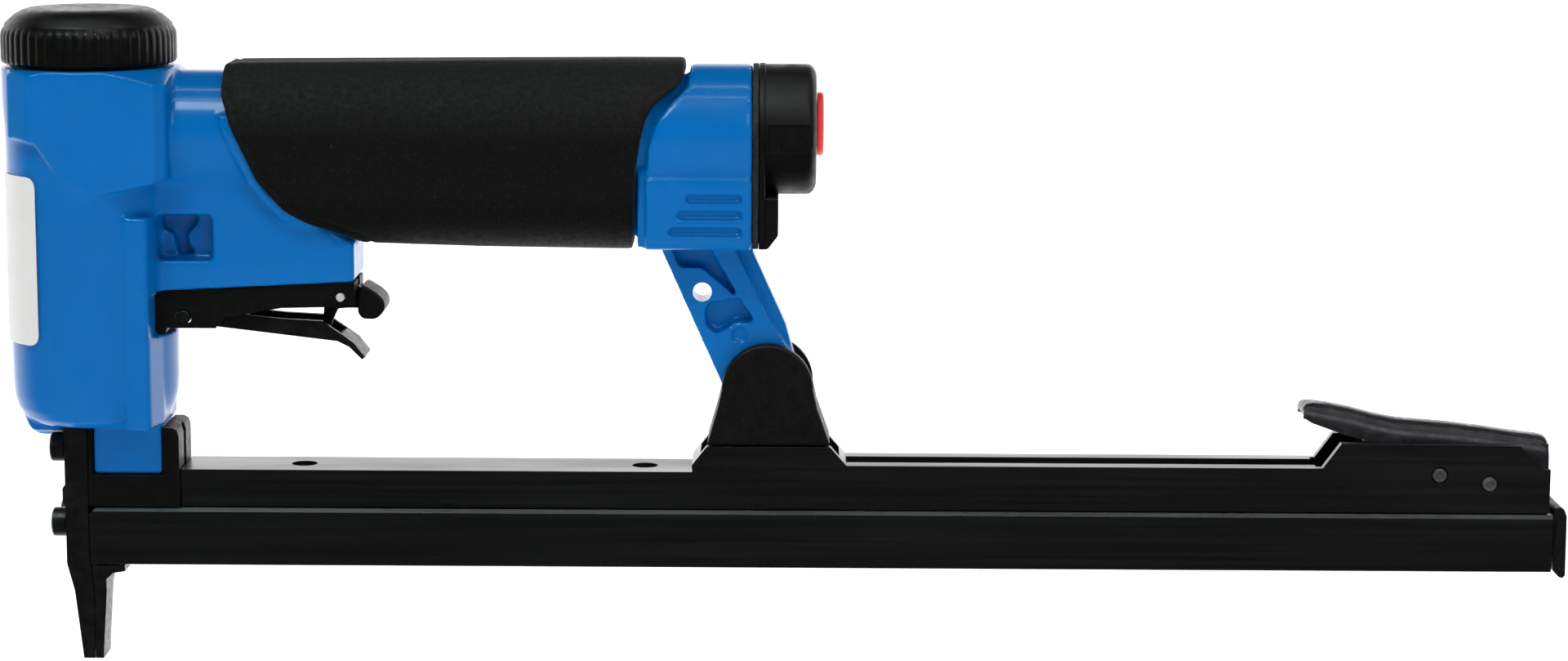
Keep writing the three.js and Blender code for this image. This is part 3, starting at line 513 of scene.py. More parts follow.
# ---------- the cast body ----------
LIP_PROFILE = [(0, 52.4), (12.6, 52.4), (14, 53.2), (15.4, 55.2), (16.4, 57.8), (0, 57.8)]
HEAD_SLOPE = [(0, 99), (28, 99), (28, 131.4), (19.2, 135.3), (0, 135.3)]
HEAD_SIDE_ROUNDING = {2: 2, 3: 3, 4: 1}
BARREL_WALL = [
    (0, 55.8), (12.6, 55.8), (14.6, 56.3), (16.2, 57.6), (17.4, 59.6), (18.1, 62.4), (18.3, 66),
    (18.4, 90), (18.8, 122), (19.2, 128), (19.2, 135.2), (0, 135.2),
]
HEAD_PLAN = [
    (-12.6, -15), (-7.5, -18.9), (19.9, -18.9), (22.4, -16.4), (22.4, 16.4), (19.9, 18.9), (-7.5, 18.9),
    (-12.6, 15),
]
HEAD_SIDE = [
    (-20, 121.6), (-6, 119.6), (0, 111), (5, 108), (12, 109.2), (22.6, 111.6), (22.6, 136), (-20, 136),
]
COLUMN = [
    (12.2, -16.6), (16.8, -16.6), (17.6, -15.8), (19.3, -8.3), (19.3, 8.3), (17.6, 15.8), (16.8, 16.6),
    (12.2, 16.6),
]
NECK = [
    (9, 86), (17.9, 86), (62, 88.3), (62, 97), (57, 99.4), (51, 101.4), (46, 104.6), (42, 109.4),
    (38.4, 117), (36, 124), (35, 131), (9, 131),
]
REAR_BODY = [
    (126.4, 90), (126.6, 113.4), (127.2, 119.6), (128.9, 124.6), (132.3, 128.9), (135.6, 132),
    (136.4, 140), (149.7, 140), (149.7, 90),
]
STRUT = [
    (129.2, 98), (129.2, 96.1), (142.6, 66.3), (144.6, 60.8), (148.4, 57.4), (153.3, 56.3), (158.2, 58),
    (161, 61.8), (161, 67), (158.8, 73), (157.3, 78.5), (149.9, 94.8), (149.7, 98),
]
STRUT_HALF = 4.8
STRUT_UPPER_POCKET = [
    (131, 98), (140.4, 98), (141, 94.7), (149, 81), (144.4, 86.5), (138.7, 91.3), (133.5, 91.6),
]
STRUT_LOWER_POCKET = [
    (139.3, 82), (140.4, 83.6), (146.8, 84.5), (150.4, 79.4), (144.4, 77.9), (141.7, 76.5),
    (139.7, 78.2),
]
STRUT_REAR_RECESS = [
    (144.6, 98.5), (151, 98.5), (151, 95), (159, 78.6), (160.5, 72), (158.4, 72.4), (153.6, 80),
]
MOULD_RING = (147.1, 76.35)
POCKET_DEEP = [
    (19, 102.6), (27.6, 102.6), (26.2, 99.8), (24.4, 98), (25, 95.6), (26.6, 93.6), (22.6, 93.6),
    (21.4, 98.4), (19, 99.4),
]
NECK_ROUNDING = {0: 2, 2: 1, 3: 1, 4: 6, 5: 8, 6: 8, 7: 10, 8: 14, 9: 14}
REAR_FACE = 149.7
GROOVES = 3
CYLINDER_BORE = [(0, 58.2), (15, 58.2), (15, 134.4), (17.3, 134.4), (17.3, 137), (0, 137)]


def both_sides(make):
    return [make(-1), make(1)]


def outward(side, near, far):
    """The low and high ends of a stretch of Y on one side."""
    return sorted((side * near, side * far))


def barrel_solids():
    lip = turned(LIP_PROFILE, "z", (BARREL_X, 0, 0))
    lip = combine(lip, [block(-WIDE, -3.9, -6, 6, 50, 60)], "INTERSECT")
    lip = cut(lip, *both_sides(lambda side: rod(3.6, -WIDE, -3, "x", (0, side * SCREW_Y, UPPER_SCREW_Z))))
    head = prism(arcs(HEAD_PLAN, 0.8), 100, 135.4, "z")
    slope = turned(HEAD_SLOPE, "z", (BARREL_X, 0, 0))
    head = combine(head, [prism(arcs(HEAD_SIDE, HEAD_SIDE_ROUNDING), -WIDE, WIDE, "y")], "INTERSECT")
    head = combine(head, [slope], "INTERSECT")
    return [
        turned(BARREL_WALL, "z", (BARREL_X, 0, 0), 128),
        lip,
        head,
        prism(arcs(COLUMN, 0.5, 3), 56, 103.2, "z", 0.5, 2),
        block(3.3, 18.4, -7.8, 7.8, 44.7, 60, 0.2, 2),
    ]


RIM = [
    (35.6, 125.6), (36.2, 123.5), (41.6, 111.5), (44.2, 108.2), (47.8, 104.2), (52.7, 101.4),
    (58.6, 99.3), (63.6, 97.1), (62.2, 95.5), (57.8, 97.2), (51.7, 99.3), (46, 102.3), (42.1, 106.8),
    (39.4, 110.4), (34, 122.3), (33.4, 125.6),
]


def rim_solid():
    """Raised rim on which the front edge of the grip ends."""
    return combine(prism(grip_outline(-1.5), 30, 66, "x"), [prism(RIM, -WIDE, WIDE, "y")], "INTERSECT")


def handle_solids():
    duct = [(-BOX_HALF, 96.3), (BOX_HALF, 96.3), (BOX_HALF, 112.2), (-BOX_HALF, 112.2)]
    window = prism(arcs(REAR_BODY, {1: 6, 2: 4, 3: 4, 4: 4, 5: 1}), -WIDE, WIDE, "y")
    ring = combine(rod(15.9, 125, REAR_FACE, "x", (0, 0, HANDLE_Z), 0.3, 96), [window], "INTERSECT")
    window = prism(arcs(REAR_BODY, {1: 6, 2: 4}), -WIDE, WIDE, "y")
    box = prism(arcs(duct, {0: 2.8, 1: 2.8, 2: 0.7, 3: 0.7}), 125, REAR_FACE, "x")
    box = combine(box, [window], "INTERSECT")
    neck = prism(arcs(NECK, NECK_ROUNDING), -9.4, 9.4, "y", 0.7, 2)
    return [
        rod(14.0, 5, 46, "x", (0, 0, HANDLE_Z), steps=96),
        rod(13.6, 40, 140, "x", (0, 0, HANDLE_Z), steps=96),
        ring,
        neck,
        block(57.6, 61.95, -9.7, 9.7, 88.5, 97, 0.3),
        block(40, 127, -8, 8, 99, 115),
        block(124.6, 127, -13.3, 13.3, 97, 114),
        box,
        rim_solid(),
    ]


def strut_solids():
    web = prism(arcs(STRUT, {2: 2, 3: 3, 4: 3, 5: 3, 6: 3, 7: 3, 8: 2}), -STRUT_HALF, STRUT_HALF, "y")
    ring = [rod(3, *outward(side, 1.2, STRUT_HALF - 0.3), "y", (MOULD_RING[0], 0, MOULD_RING[1]), 0.2)
            for side in (-1, 1)]
    pockets = []
    for side in (-1, 1):
        deep, shallow = outward(side, 1.7, 9), outward(side, 3.0, 9)
        pockets.append(prism(arcs(STRUT_UPPER_POCKET, 0.6, 4), *deep, "y"))
        pockets.append(prism(arcs(STRUT_LOWER_POCKET, 0.8, 4), *deep, "y"))
        pockets.append(prism(arcs(STRUT_REAR_RECESS, 0.4, 4), *shallow, "y"))
    web = cut(web, *pockets)
    return [web, *ring, rod(8.2, -STRUT_HALF, STRUT_HALF, "y", (TOWER[0], 0, TOWER[1]), 0.3)]


def cast_cuts():
    """Recesses that are cast in, so their edges are soft."""
    tools = both_sides(lambda side: block(18.3, 30.8, *outward(side, 4.4, 22), 92.8, 103.2, 1.2))
    tools += both_sides(lambda side: prism(arcs(POCKET_DEEP, 0.8, 4), *outward(side, 1.5, 6), "y"))
    tools.append(block(17.6, 22, -WIDE, WIDE, 76.3, 86))
    for side in (-1, 1):
        tools.append(rod(1.9, *outward(side, STRUT_HALF - 0.8, 9), "y", (MOULD_RING[0], 0, MOULD_RING[1])))
        for i in range(GROOVES):
            x, z = 135.2 - 1.9 * i, 107.9 - 3.65 * i
            groove = [(x, z - 1), (147.6, z - 1), (147.6, z + 1), (x, z + 1)]
            tools.append(prism(arcs(groove, 0.95, 4), *outward(side, BOX_HALF - 1.2, BOX_HALF + 2), "y"))
    return tools


def machined_cuts():
    """Bores and seats cut after casting, with crisp edges."""
    tools = [
        turned(CYLINDER_BORE, "z", (BARREL_X, 0, 0), 96),
        block(1.9, 3.3, -3.1, 3.1, 40, 59),
        block(-3.7, 3.3, -8.75, 8.75, 40, 55.65),
        rod(10.6, 16, 152, "x", (0, 0, HANDLE_Z + 1)),
        block(46, 152, -5.4, 5.4, 101.5, 107),
        rod(4.5, 80, 96.3, "z", (VALVE_X, 0, 0)),
        rod(2.12, -9, 9, "y", (HANGING_HOLE[0], 0, HANGING_HOLE[1])),
        rod(2.3, -9, 9, "y", (TOWER[0], 0, TOWER[1])),
    ]
    for side in (-1, 1):
        tools.append(rod(1.85, 0, 15, "x", (0, side * SCREW_Y, UPPER_SCREW_Z)))
        tools.append(rod(1.75, 138, 152, "x", (0, side * END_SCREW[0], END_SCREW[1])))
    return tools


class GUN_OT_housing(bpy.types.Operator):
    """Cast body: barrel, head block, neck, handle core, exhaust duct and strut"""
    bl_idname = "gun.housing"
    bl_label = "Cast body"

    def execute(self, context):
        finishes = finish_set(context.scene)
        sizes = context.scene.gun_sizes
        voxel = sizes.voxel * 1
        whole = melted(barrel_solids() + handle_solids() + strut_solids(), voxel, 0, "housing")
        whole = melted([cut(whole, *cast_cuts())], voxel, 3, "housing", 0.5)
        whole = cut(whole, *machined_cuts())
        show(whole, "housing_casting", "root", finishes["paint"], ["housing"], SOFT)
        return {"FINISHED"}


# ---------- cap ----------
CAP_PROFILE = [
    (0, 147.85), (7, 147.9), (11, 148.05), (13, 147.9), (14.6, 147.4), (16.2, 146.5), (17.3, 145.5),
    (18.1, 144.75), (18.35, 144.4), (18.35, 144), (18.8, 143.4), (19.05, 142.8), (19.2, 142), (19.2, 139),
    (19.2, 137), (19.05, 136.3), (18.7, 136.02), (14.6, 136.02), (14.6, 131.5), (11.5, 131.5),
    (11.5, 140), (0, 140),
]
CAP_SKIRT = {"inner": 15.2, "bottom": 135.95, "top": 144.2, "run_in": 0.5, "run_out": 1.4}


def flute(cap, count, depth):
    """Presses the finger flutes into the skirt, fading out towards its top and bottom."""
    for v in cap.data.vertices:
        x, y, z = v.co.x / MM - BARREL_X, v.co.y / MM, v.co.z / MM + FOOT_Z
        r = math.hypot(x, y)
        if r < CAP_SKIRT["inner"]:
            continue
        wave = 0.5 - 0.5 * math.cos(count * math.atan2(y, x))
        fade_out = min(1, max(0, (CAP_SKIRT["top"] - z) / CAP_SKIRT["run_out"]))
        fade_in = min(1, max(0, (z - CAP_SKIRT["bottom"]) / CAP_SKIRT["run_in"]))
        pressed = (r - depth * wave ** 2 * fade_out * fade_in) / r
        v.co.x = (BARREL_X + x * pressed) * MM
        v.co.y = y * pressed * MM


class GUN_OT_cap(bpy.types.Operator):
    """Fluted screw cap over the cylinder, with its seal"""
    bl_idname = "gun.cap"
    bl_label = "Cylinder cap"

    def execute(self, context):
        finishes = finish_set(context.scene)
        sizes = context.scene.gun_sizes
        cap = turned(CAP_PROFILE, "z", (BARREL_X, 0, 0), sizes.flutes * 8)
        flute(cap, sizes.flutes, sizes.flute_depth)
        show(cap, "cylinder_cap_fluted", "root", finishes["cap"], ["cylinder_cap"], SOFT)
        dressed("cap_seal", "root", finishes["rubber"], 0.3, 3)
        return {"FINISHED"}


# ---------- grip ----------
GRIP_FRONT = [
    (33.7, 136.4), (33.9, 130), (36, 123.5), (41.4, 111.5), (44, 108.2), (47.6, 104.2), (52.5, 101.4),
    (58.4, 99.3), (63.9, 96.9),
]
GRIP_REAR = [
    (90, 95.9), (123.3, 95.3), (124.2, 113.8), (125.3, 120.5), (126.4, 125.1), (128.2, 128.2),
    (131.6, 131), (133.9, 132.8), (134.8, 134.6), (134.8, 137.7),
]
GRIP_ROUNDING = {
    0: 1.2, 1: 3, 2: 6, 3: 8, 4: 8, 5: 8, 6: 8, 7: 8, 8: 2, 10: 1, 11: 8, 12: 8, 13: 6, 14: 5, 15: 4,
    16: 3, 17: 1, 18: 1,
}
SEAM = {"inset": 1.7, "width": 0.42, "depth": 0.34, "end": 68}
SEAM_ROUNDING = {1: 3, 2: 6, 3: 8, 4: 8, 5: 8, 6: 8, 7: 8}
INNER_NECK = [
    (25, 80), (62.4, 80), (62.4, 97.4), (57.2, 99.9), (51.3, 101.9), (46.4, 105.1), (42.5, 109.8),
    (38.9, 117.3), (36.5, 124.2), (35.4, 131.4), (25, 131.4),
]


def nearness(point, line):
    """Distance in X and Z from a point to a run of straight stretches."""
    best = 1e9
    for a, b in zip(line, line[1:]):
        start, way = Vector(a), Vector(b) - Vector(a)
        t = min(1, max(0, (point - start).dot(way) / way.length_squared))
        best = min(best, (point - start - way * t).length)
    return best


def press_seam(obj, line):
    """Presses the shallow moulding groove that runs just inside the front edge."""
    obj.data.update()
    normals = [v.normal.copy() for v in obj.data.vertices]
    for v, normal in zip(obj.data.vertices, normals):
        if v.co.x / MM > SEAM["end"]:
            continue
        away = nearness(Vector((v.co.x / MM, v.co.z / MM + FOOT_Z)), line) - SEAM["inset"]
        v.co -= normal * SEAM["depth"] * MM * math.exp(-(away / SEAM["width"]) ** 2)


def grip_outline(grow):
    upper = arc(0, 121.1, 16.6 + grow, 0, 180, 40)
    lower = arc(0, 110, 15.0 + grow, 180, 360, 40)
    return upper + lower


class GUN_OT_grip(bpy.types.Operator):
    """Foam sleeve round the handle, open at both ends"""
    bl_idname = "gun.grip"
    bl_label = "Foam grip"

    def execute(self, context):
        finishes = finish_set(context.scene)
        sizes = context.scene.gun_sizes
        side = arcs(GRIP_FRONT + GRIP_REAR, GRIP_ROUNDING)
        sleeve = prism(grip_outline(0), 33, 136, "x")
        sleeve = combine(sleeve, [prism(side, -WIDE, WIDE, "y")], "INTERSECT")
        sleeve = melted([sleeve], sizes.foam_voxel * (1), 4, "grip", 0.7)
        press_seam(sleeve, arcs(GRIP_FRONT, SEAM_ROUNDING))
        sleeve = cut(sleeve, rod(14.3, 28, 46.5, "x", (0, 0, HANDLE_Z), steps=96))
        sleeve = cut(sleeve, rod(13.9, 45, 142, "x", (0, 0, HANDLE_Z), steps=96))
        sleeve = cut(sleeve, prism(INNER_NECK, -9.7, 9.7, "y"))
        sleeve = cut(sleeve, block(39.7, 127, -8.3, 8.3, 98.7, 115))
        show(sleeve, "grip_foam_sleeve", "root", finishes["foam"], ["grip_sleeve"], VERY_SOFT)
        return {"FINISHED"}


# ---------- rear end ----------
SCREW_EASE = 0.35
SOCKET_DEPTH = 1.9
FLANGE_FACE = 151.4
END_CAP_LOW = [
    (FLANGE_FACE, 96.6), (153.2, 96.6), (155.5, 99.6), (155.5, 108), (FLANGE_FACE, 108),
]
BUSH_PROFILE = [
    (5.6, 150.9), (6.0, 150.5), (8.0, 150.5), (8.4, 150.9), (8.4, 163.3), (8.1, 163.6), (6.2, 163.6),
    (5.6, 163.0), (5.6, 150.9),
]
PLUG_PROFILE = [
    (0, 151), (4.7, 151), (5.3, 152), (5.3, 163.95), (6.8, 163.95), (7, 164.15), (7, 164.8),
    (6.85, 165.15), (6.5, 165.4), (4.4, 165.4), (4.1, 165.1), (0, 165.1),
]


def drum_profile(r):
    """The end cap's drum, from the flange to its rounded rear rim."""
    return [(0, FLANGE_FACE), (r, FLANGE_FACE), (r, 161.6), (r - 0.15, 162.4), (r - 0.7, 163.1),
            (r - 1.6, 163.6), (r - 2.4, 163.8), (0, 163.8)]


def end_outline(grow):
    half, low = DUCT_HALF + grow, 96.4 - grow
    base = [(-half, 113), (-half, low), (half, low), (half, 113)]
    top = arc(0, END_CAP_Z, END_CAP_R + grow, -20, 200, 48)
    return arcs(base, {1: 2.6, 2: 2.6}) + top


def hex_screw(node, axis, centre, head, shank, heights, finish, socket=1.5):
    """A socket-head screw: radii of head and shank, and the heights of head, seat and end on the axis."""
    top, seat, end = heights
    way = 1 if seat > top else -1
    ease = SCREW_EASE * way
    profile = [(0, top), (head - SCREW_EASE, top), (head, top + ease), (head, seat), (shank, seat),
               (shank, end - ease), (shank - SCREW_EASE, end), (0, end)]
    screw = turned(profile if way > 0 else profile[::-1], axis, centre, 48)
    low, high = sorted((top - way, top + way * SOCKET_DEPTH))
    tool = rod(socket, low, high, axis, centre, steps=6)
    return show(cut(screw, tool), node + "_head", "root", finish, [node])


class GUN_OT_rear(bpy.types.Operator):
    """End cap with its gasket and screws, inlet bush, red plug and exhaust filter"""
    bl_idname = "gun.rear"
    bl_label = "Rear end"

    @staticmethod
    def bores(shank):
        """Inlet, exhaust way and screw holes, through gasket and end cap alike."""
        y, z = END_SCREW
        return [rod(8.7, 148, FAR_END, "x", (0, 0, INLET_Z)), block(148, 153.3, -5.2, 5.2, 100.9, 107),
                *both_sides(lambda side: rod(shank, 148, FAR_END, "x", (0, side * y, z)))]

    def execute(self, context):
        finishes = finish_set(context.scene)
        gasket = prism(end_outline(-0.1), 149.78, 151.12, "x", 0.15, 2)
        gasket = cut(gasket, *self.bores(1.85))
        show(gasket, "end_cap_gasket_sheet", "root", finishes["rubber"], ["end_cap_gasket"])

        flange = prism(end_outline(0), 151.2, 152.6, "x", 0.3, 3)
        drum = turned(drum_profile(END_CAP_R - 0.25), "x", (0, 0, END_CAP_Z), 128)
        exhaust = prism(arcs(END_CAP_LOW, {1: 1, 2: 1.6, 3: 0.6}), -13.3, 13.3, "y", 0.9, 4)
        cap = combine(drum, [flange, exhaust], "UNION")
        cap = cut(cap, *self.bores(1.85))
        y, z = END_SCREW
        details = both_sides(lambda side: rod(3.2, 153.3, FAR_END, "x", (0, side * y, z)))
        details += both_sides(lambda side: block(152.3, 158, side * 2.6 - 1.4, side * 2.6 + 1.4, 102, 105.8))
        details += both_sides(lambda side: block(153.2, 166, *outward(side, 13.85, 16), 113.6, 124.2))
        cap = cut(cap, *details)
        show(cap, "end_cap_moulding", "root", finishes["plastic"], ["end_cap"], FIRM)

        for side, way in SIDES:
            hex_screw("end_cap_screw_" + side, "x", (0, way * y, z), 2.9, 1.45, (155, 153.45, 140),
                      finishes["black_steel"], 1.2)
        bush = turned(BUSH_PROFILE, "x", (0, 0, INLET_Z), 64)
        show(bush, "inlet_bush_turned", "root", finishes["brass"], ["inlet_bush"])
        plug = turned(PLUG_PROFILE, "x", (0, 0, INLET_Z), 96)
        plug = cut(plug, rod(3.6, 149, 161, "x", (0, 0, INLET_Z)))
        show(plug, "inlet_plug_moulding", "plug", finishes["red"], ["inlet_plug"], CRISP)
        dressed("exhaust_filter", "root", finishes["felt"], 0.6, 3)
        return {"FINISHED"}


# ---------- trigger ----------
CATCH_LEG = [
    (61.9, 86.4), (63, 85.6), (63, 81.4), (59.5, 81.4), (57.3, 81.2), (56.1, 78.6), (55.4, 76.6),
    (53.9, 76.6), (54.2, 81.7), (56.4, 85.2), (57.6, 86.6), (59.2, 86.9),
]
CATCH_HOOK = [
    (62.2, 80.8), (62.2, 84.5), (63.0, 87.4), (66.6, 85.2), (68.2, 83.5), (68.2, 81.4), (66.3, 79.4),
    (63.2, 79.5),
]


HOOK_ROUNDING = {1: 0.5, 2: 1.4, 3: 5, 4: 2.5, 5: 2.5, 6: 2.5, 7: 2}


class GUN_OT_trigger(bpy.types.Operator):
    """Trigger bracket, lever, valve, safety catch and their pins"""
    bl_idname = "gun.trigger"
    bl_label = "Trigger group"

    def execute(self, context):
        f = finish_set(context.scene)
        dressed("trigger_bracket", "root", f["plastic"], 0.35, 3)
        dressed("trigger_lever", "trigger", f["black_steel"], 0.22, 2)
        hook = prism(arcs(CATCH_HOOK, HOOK_ROUNDING), -5.4, 5.4, "y", 0.7, 4)
        leg = prism(arcs(CATCH_LEG, 0.4, 3), -1.4, 1.4, "y", 0.2, 2)
        bore = rod(1.2, -5, 5, "y", (SAFETY_PIVOT[0], 0, SAFETY_PIVOT[1]))
        catch = cut(combine(hook, [leg], "UNION"), bore)
        show(catch, "safety_catch_moulding", "safety", f["plastic"], ["safety_catch"])
        dressed("valve_bushing", "root", f["brass"], 0.2, 2)
        dressed("valve_stem", "valve_stem_body", f["steel"], 0.15, 2)
        for node, r, half, pivot, finish, slot in (
                ("trigger_pin", 1.5, 8.5, TRIGGER_PIVOT, f["black_steel"], "steel_black"),
                ("safety_pin", 0.95, 8.6, SAFETY_PIVOT, f["pin_end"], "steel_bright")):
            pin = rod(r, -half, half, "y", (pivot[0], 0, pivot[1]), 0.2)
            show(pin, node + "_turned", "root", finish, [node])
        return {"FINISHED"}


# ---------- nose ----------
PLATE_REAR = 1.2
PLATE_PRESS = 0.2


class GUN_OT_nose(bpy.types.Operator):
    """Front plate, nose guide, nose block and the four socket-head screws"""
    bl_idname = "gun.nose"
    bl_label = "Nose"

    def execute(self, context):
        f = finish_set(context.scene)
        plate = dressed("front_plate", "root", f["black_steel"], 0.35, 3)
        for v in plate.data.vertices:
            if v.co.x > PLATE_REAR * MM:
                v.co.x += PLATE_PRESS * MM
        dressed("nose_guide", "root", f["black_steel"], 0.3, 3)
        dressed("nose_block", "root", f["plastic"], 0.5, 3)
        for side, way in SIDES:
            for level, z, end in (("upper", UPPER_SCREW_Z, 14), ("lower", LOWER_SCREW_Z, 11)):
                node = "nose_screw_" + level + "_" + side
                hex_screw(node, "x", (0, way * SCREW_Y, z), 3.25, 1.6, (-6.6, -3.5, end), f["black_steel"])
        return {"FINISHED"}


# ---------- rail, tower, latch ----------
class GUN_OT_rail(bpy.types.Operator):
    """Magazine rail with its screws, and the tower that holds the strut"""
    bl_idname = "gun.rail"
    bl_label = "Rail and tower"

    def execute(self, context):
        f = finish_set(context.scene)
        dressed("magazine_rail", "root", f["anodised"], 0.3, 2)
        dressed("rail_screw_front", "root", f["black_steel"], 0.15, 2)
        dressed("rail_screw_rear", "root", f["black_steel"], 0.15, 2)
        x, z = TOWER
        side = [(139.8, 51.8), (167.4, 51.8), (164.4, 60.2)] + arc(x, z, 10.2, 0, 180, 48) + [(142.2, 60.2)]
        shell = prism(side, -7.7, 7.7, "y", 0.7, 4)
        foot = block(140.8, 166.4, -5.2, 5.2, 43.7, 54, 0.3, 2)
        tower = combine(shell, [foot], "UNION")
        seat = arc(x, z, 9.6, 180, 360, 32) + [(x + 15, z), (x + 15, 80), (x - 15, 80), (x - 15, z)]
        tower = cut(tower, prism(seat, -5.1, 5.1, "y"))
        tower = cut(tower, rod(1.9, -6.4, 10, "y", (x, 0, z)), rod(1.75, -6.4, 10, "y", (x, 0, CROSS_PIN_Z)))
        show(tower, "tower_clevis_moulding", "root", f["tower"], ["tower_clevis"])
        hex_screw("tower_screw", "y", (x, 0, z), 3.1, 1.6, (10.1, 7.9, -6.1), f["black_steel"], 1.3)
        pin = rod(1.45, -6.1, 7.6, "y", (x, 0, CROSS_PIN_Z), 0.2)
        show(pin, "tower_cross_pin_turned", "root", f["pin"], ["tower_cross_pin"])
        return {"FINISHED"}


LEVER_TOP = [
    (273, 60.3), (273.4, 60.9), (274.2, 61.2), (275.4, 61.3), (279, 61), (284, 60), (289, 58.7),
    (294, 57.7), (300, 57.2), (306, 56.7), (313, 55.9), (320, 54.9), (326.6, 54.1), (327.7, 53.8),
    (328.1, 53.2),
]
LEVER_LOW = [
    (273, 58.9), (273.6, 57.9), (275, 57.1), (282, 54.6), (291, 52.2), (297.5, 49.4), (300, 47.4),
    (328.1, 46.9),
]
LEVER_STEPS = 108
LEVER_HALF = 5.2
LEVER_WALL = 1.4
LEVER_SHOULDER = 4.2
LEVER_LEAST = 2.2
CHEEK = [(297.6, 50), (299.4, 44.2), (301.6, 42.5), (305.2, 42.5), (307.4, 43.8), (309.6, 50)]
LEVER_BACK = [(326.5, 52.6), (326.5, 46.9), (328.05, 46.9), (328.05, 52.6)]
LEVER_CLAW = [(324, 50), (324, 41.2), (325.2, 40.4), (327, 40.4), (327, 50)]


def height_at(line, x):
    """Height of a run of straight stretches above an X."""
    for (x0, z0), (x1, z1) in zip(line, line[1:]):
        if x0 <= x <= x1:
            return z0 + (z1 - z0) * (x - x0) / (x1 - x0)
    return line[-1][1]


def trough(x, half, wall, top, low, radius):
    """Inverted U across the lever: the outer skin from edge to edge over the top, then back inside."""
    def skin(inset):
        r = radius - inset
        shoulder = [(half - radius + r * math.cos(a), top - radius + r * math.sin(a))
                    for a in (math.radians(90 * k / 6) for k in range(7))]
        side = [(half - inset, low)] + shoulder
        return side + [(-y, z) for y, z in reversed(side)]
    return [Vector((x, y, z)) for y, z in skin(0) + skin(wall)[::-1]]


def lever_skin():
    """The pressed lever as a run of troughs, joined side by side and closed at both ends."""
    bm = bmesh.new()
    first, last = LEVER_TOP[0][0], LEVER_TOP[-1][0]
    rows = []
    for x in (first + (last - first) * k / LEVER_STEPS for k in range(LEVER_STEPS + 1)):
        top = height_at(LEVER_TOP, x)
        low = min(height_at(LEVER_LOW, x), top - LEVER_LEAST)
        section = trough(x, LEVER_HALF, LEVER_WALL, top, low, min(LEVER_SHOULDER, (top - low) * 0.8))
        rows.append([bm.verts.new(point) for point in section])
    count = len(rows[0])
    for a, b in zip(rows, rows[1:]):
        for i in range(count):
            j = (i + 1) % count
            bm.faces.new((a[i], a[j], b[j], b[i]))
    half = count // 2
    for row in (rows[0], rows[-1]):
        for i in range(half - 1):
            bm.faces.new((row[i], row[i + 1], row[count - 2 - i], row[count - 1 - i]))
    return from_bmesh(bm, "lever")


def dimpled_pin(r, end=7.85, shoulder=7.5):
    """A pin with chamfered ends, each with a small centre dimple."""
    half = [(r, shoulder), (r - 0.3, end), (0.8, end), (0.6, shoulder), (0, shoulder)]
    return [(radius, -height) for radius, height in reversed(half)] + half


class GUN_OT_latch(bpy.types.Operator):
    """Latch lever with its pins at the rear of the rail"""
    bl_idname = "gun.latch"
    bl_label = "Latch"

    @staticmethod
    def lever():
        """Sheet lever with round shoulders, cheeks that carry its pivot, and a claw at the rear."""
        x, z = LATCH_PIVOT
        side_plate = arcs(CHEEK, {1: 1.5, 2: 1.5, 3: 1.5, 4: 1.5})
        cheeks = both_sides(lambda side: prism(side_plate, *outward(side, 3.82, 5.18), "y", 0.2, 2))
        body = combine(lever_skin(), cheeks, "UNION")
        body = combine(body, [prism(LEVER_BACK, -4.6, 4.6, "y")], "UNION")
        body = combine(body, [prism(LEVER_CLAW, -2.6, 2.6, "y", 0.3, 2)], "UNION")
        return cut(body, rod(1.9, -9, 9, "y", (x, 0, z)))

    def execute(self, context):
        f = finish_set(context.scene)
        show(self.lever(), "latch_lever_pressed", "latch", f["latch"], ["latch_lever"], FIRM)
        for node, r, (x, z) in (("latch_pivot_pin", 1.6, LATCH_PIVOT), ("latch_stop_pin", 1.65, STOP_PIN)):
            pin = turned(dimpled_pin(r), "y", (x, 0, z), 48)
            show(pin, node + "_turned", "root", f["pin"], [node])
        return {"FINISHED"}


TAB_SIDE = [
    (329.5, 24.2), (329.5, 27.2), (329.1, 27.6), (329.1, 36.9), (329.6, 38.4), (330.6, 38.9),
    (331.6, 38.2), (332.2, 36.6), (332.3, 23.2), (331.8, 22.5), (330.9, 22.7),
]


TAB_ROUNDING = {1: 0.3, 4: 0.8, 5: 1.2, 6: 1.2, 7: 0.8, 8: 0.8, 9: 0.5}
RIVET_Z = 33.4
RIVET_SEAT = [(0, 320), (1.5, 320), (1.5, 330.8), (2.7, 332.1), (2.7, 336), (0, 336)]
GUIDE_ROD = [(0, 25), (0.5, 25), (0.9, 25.6), (0.9, 314.7), (0, 314.7)]


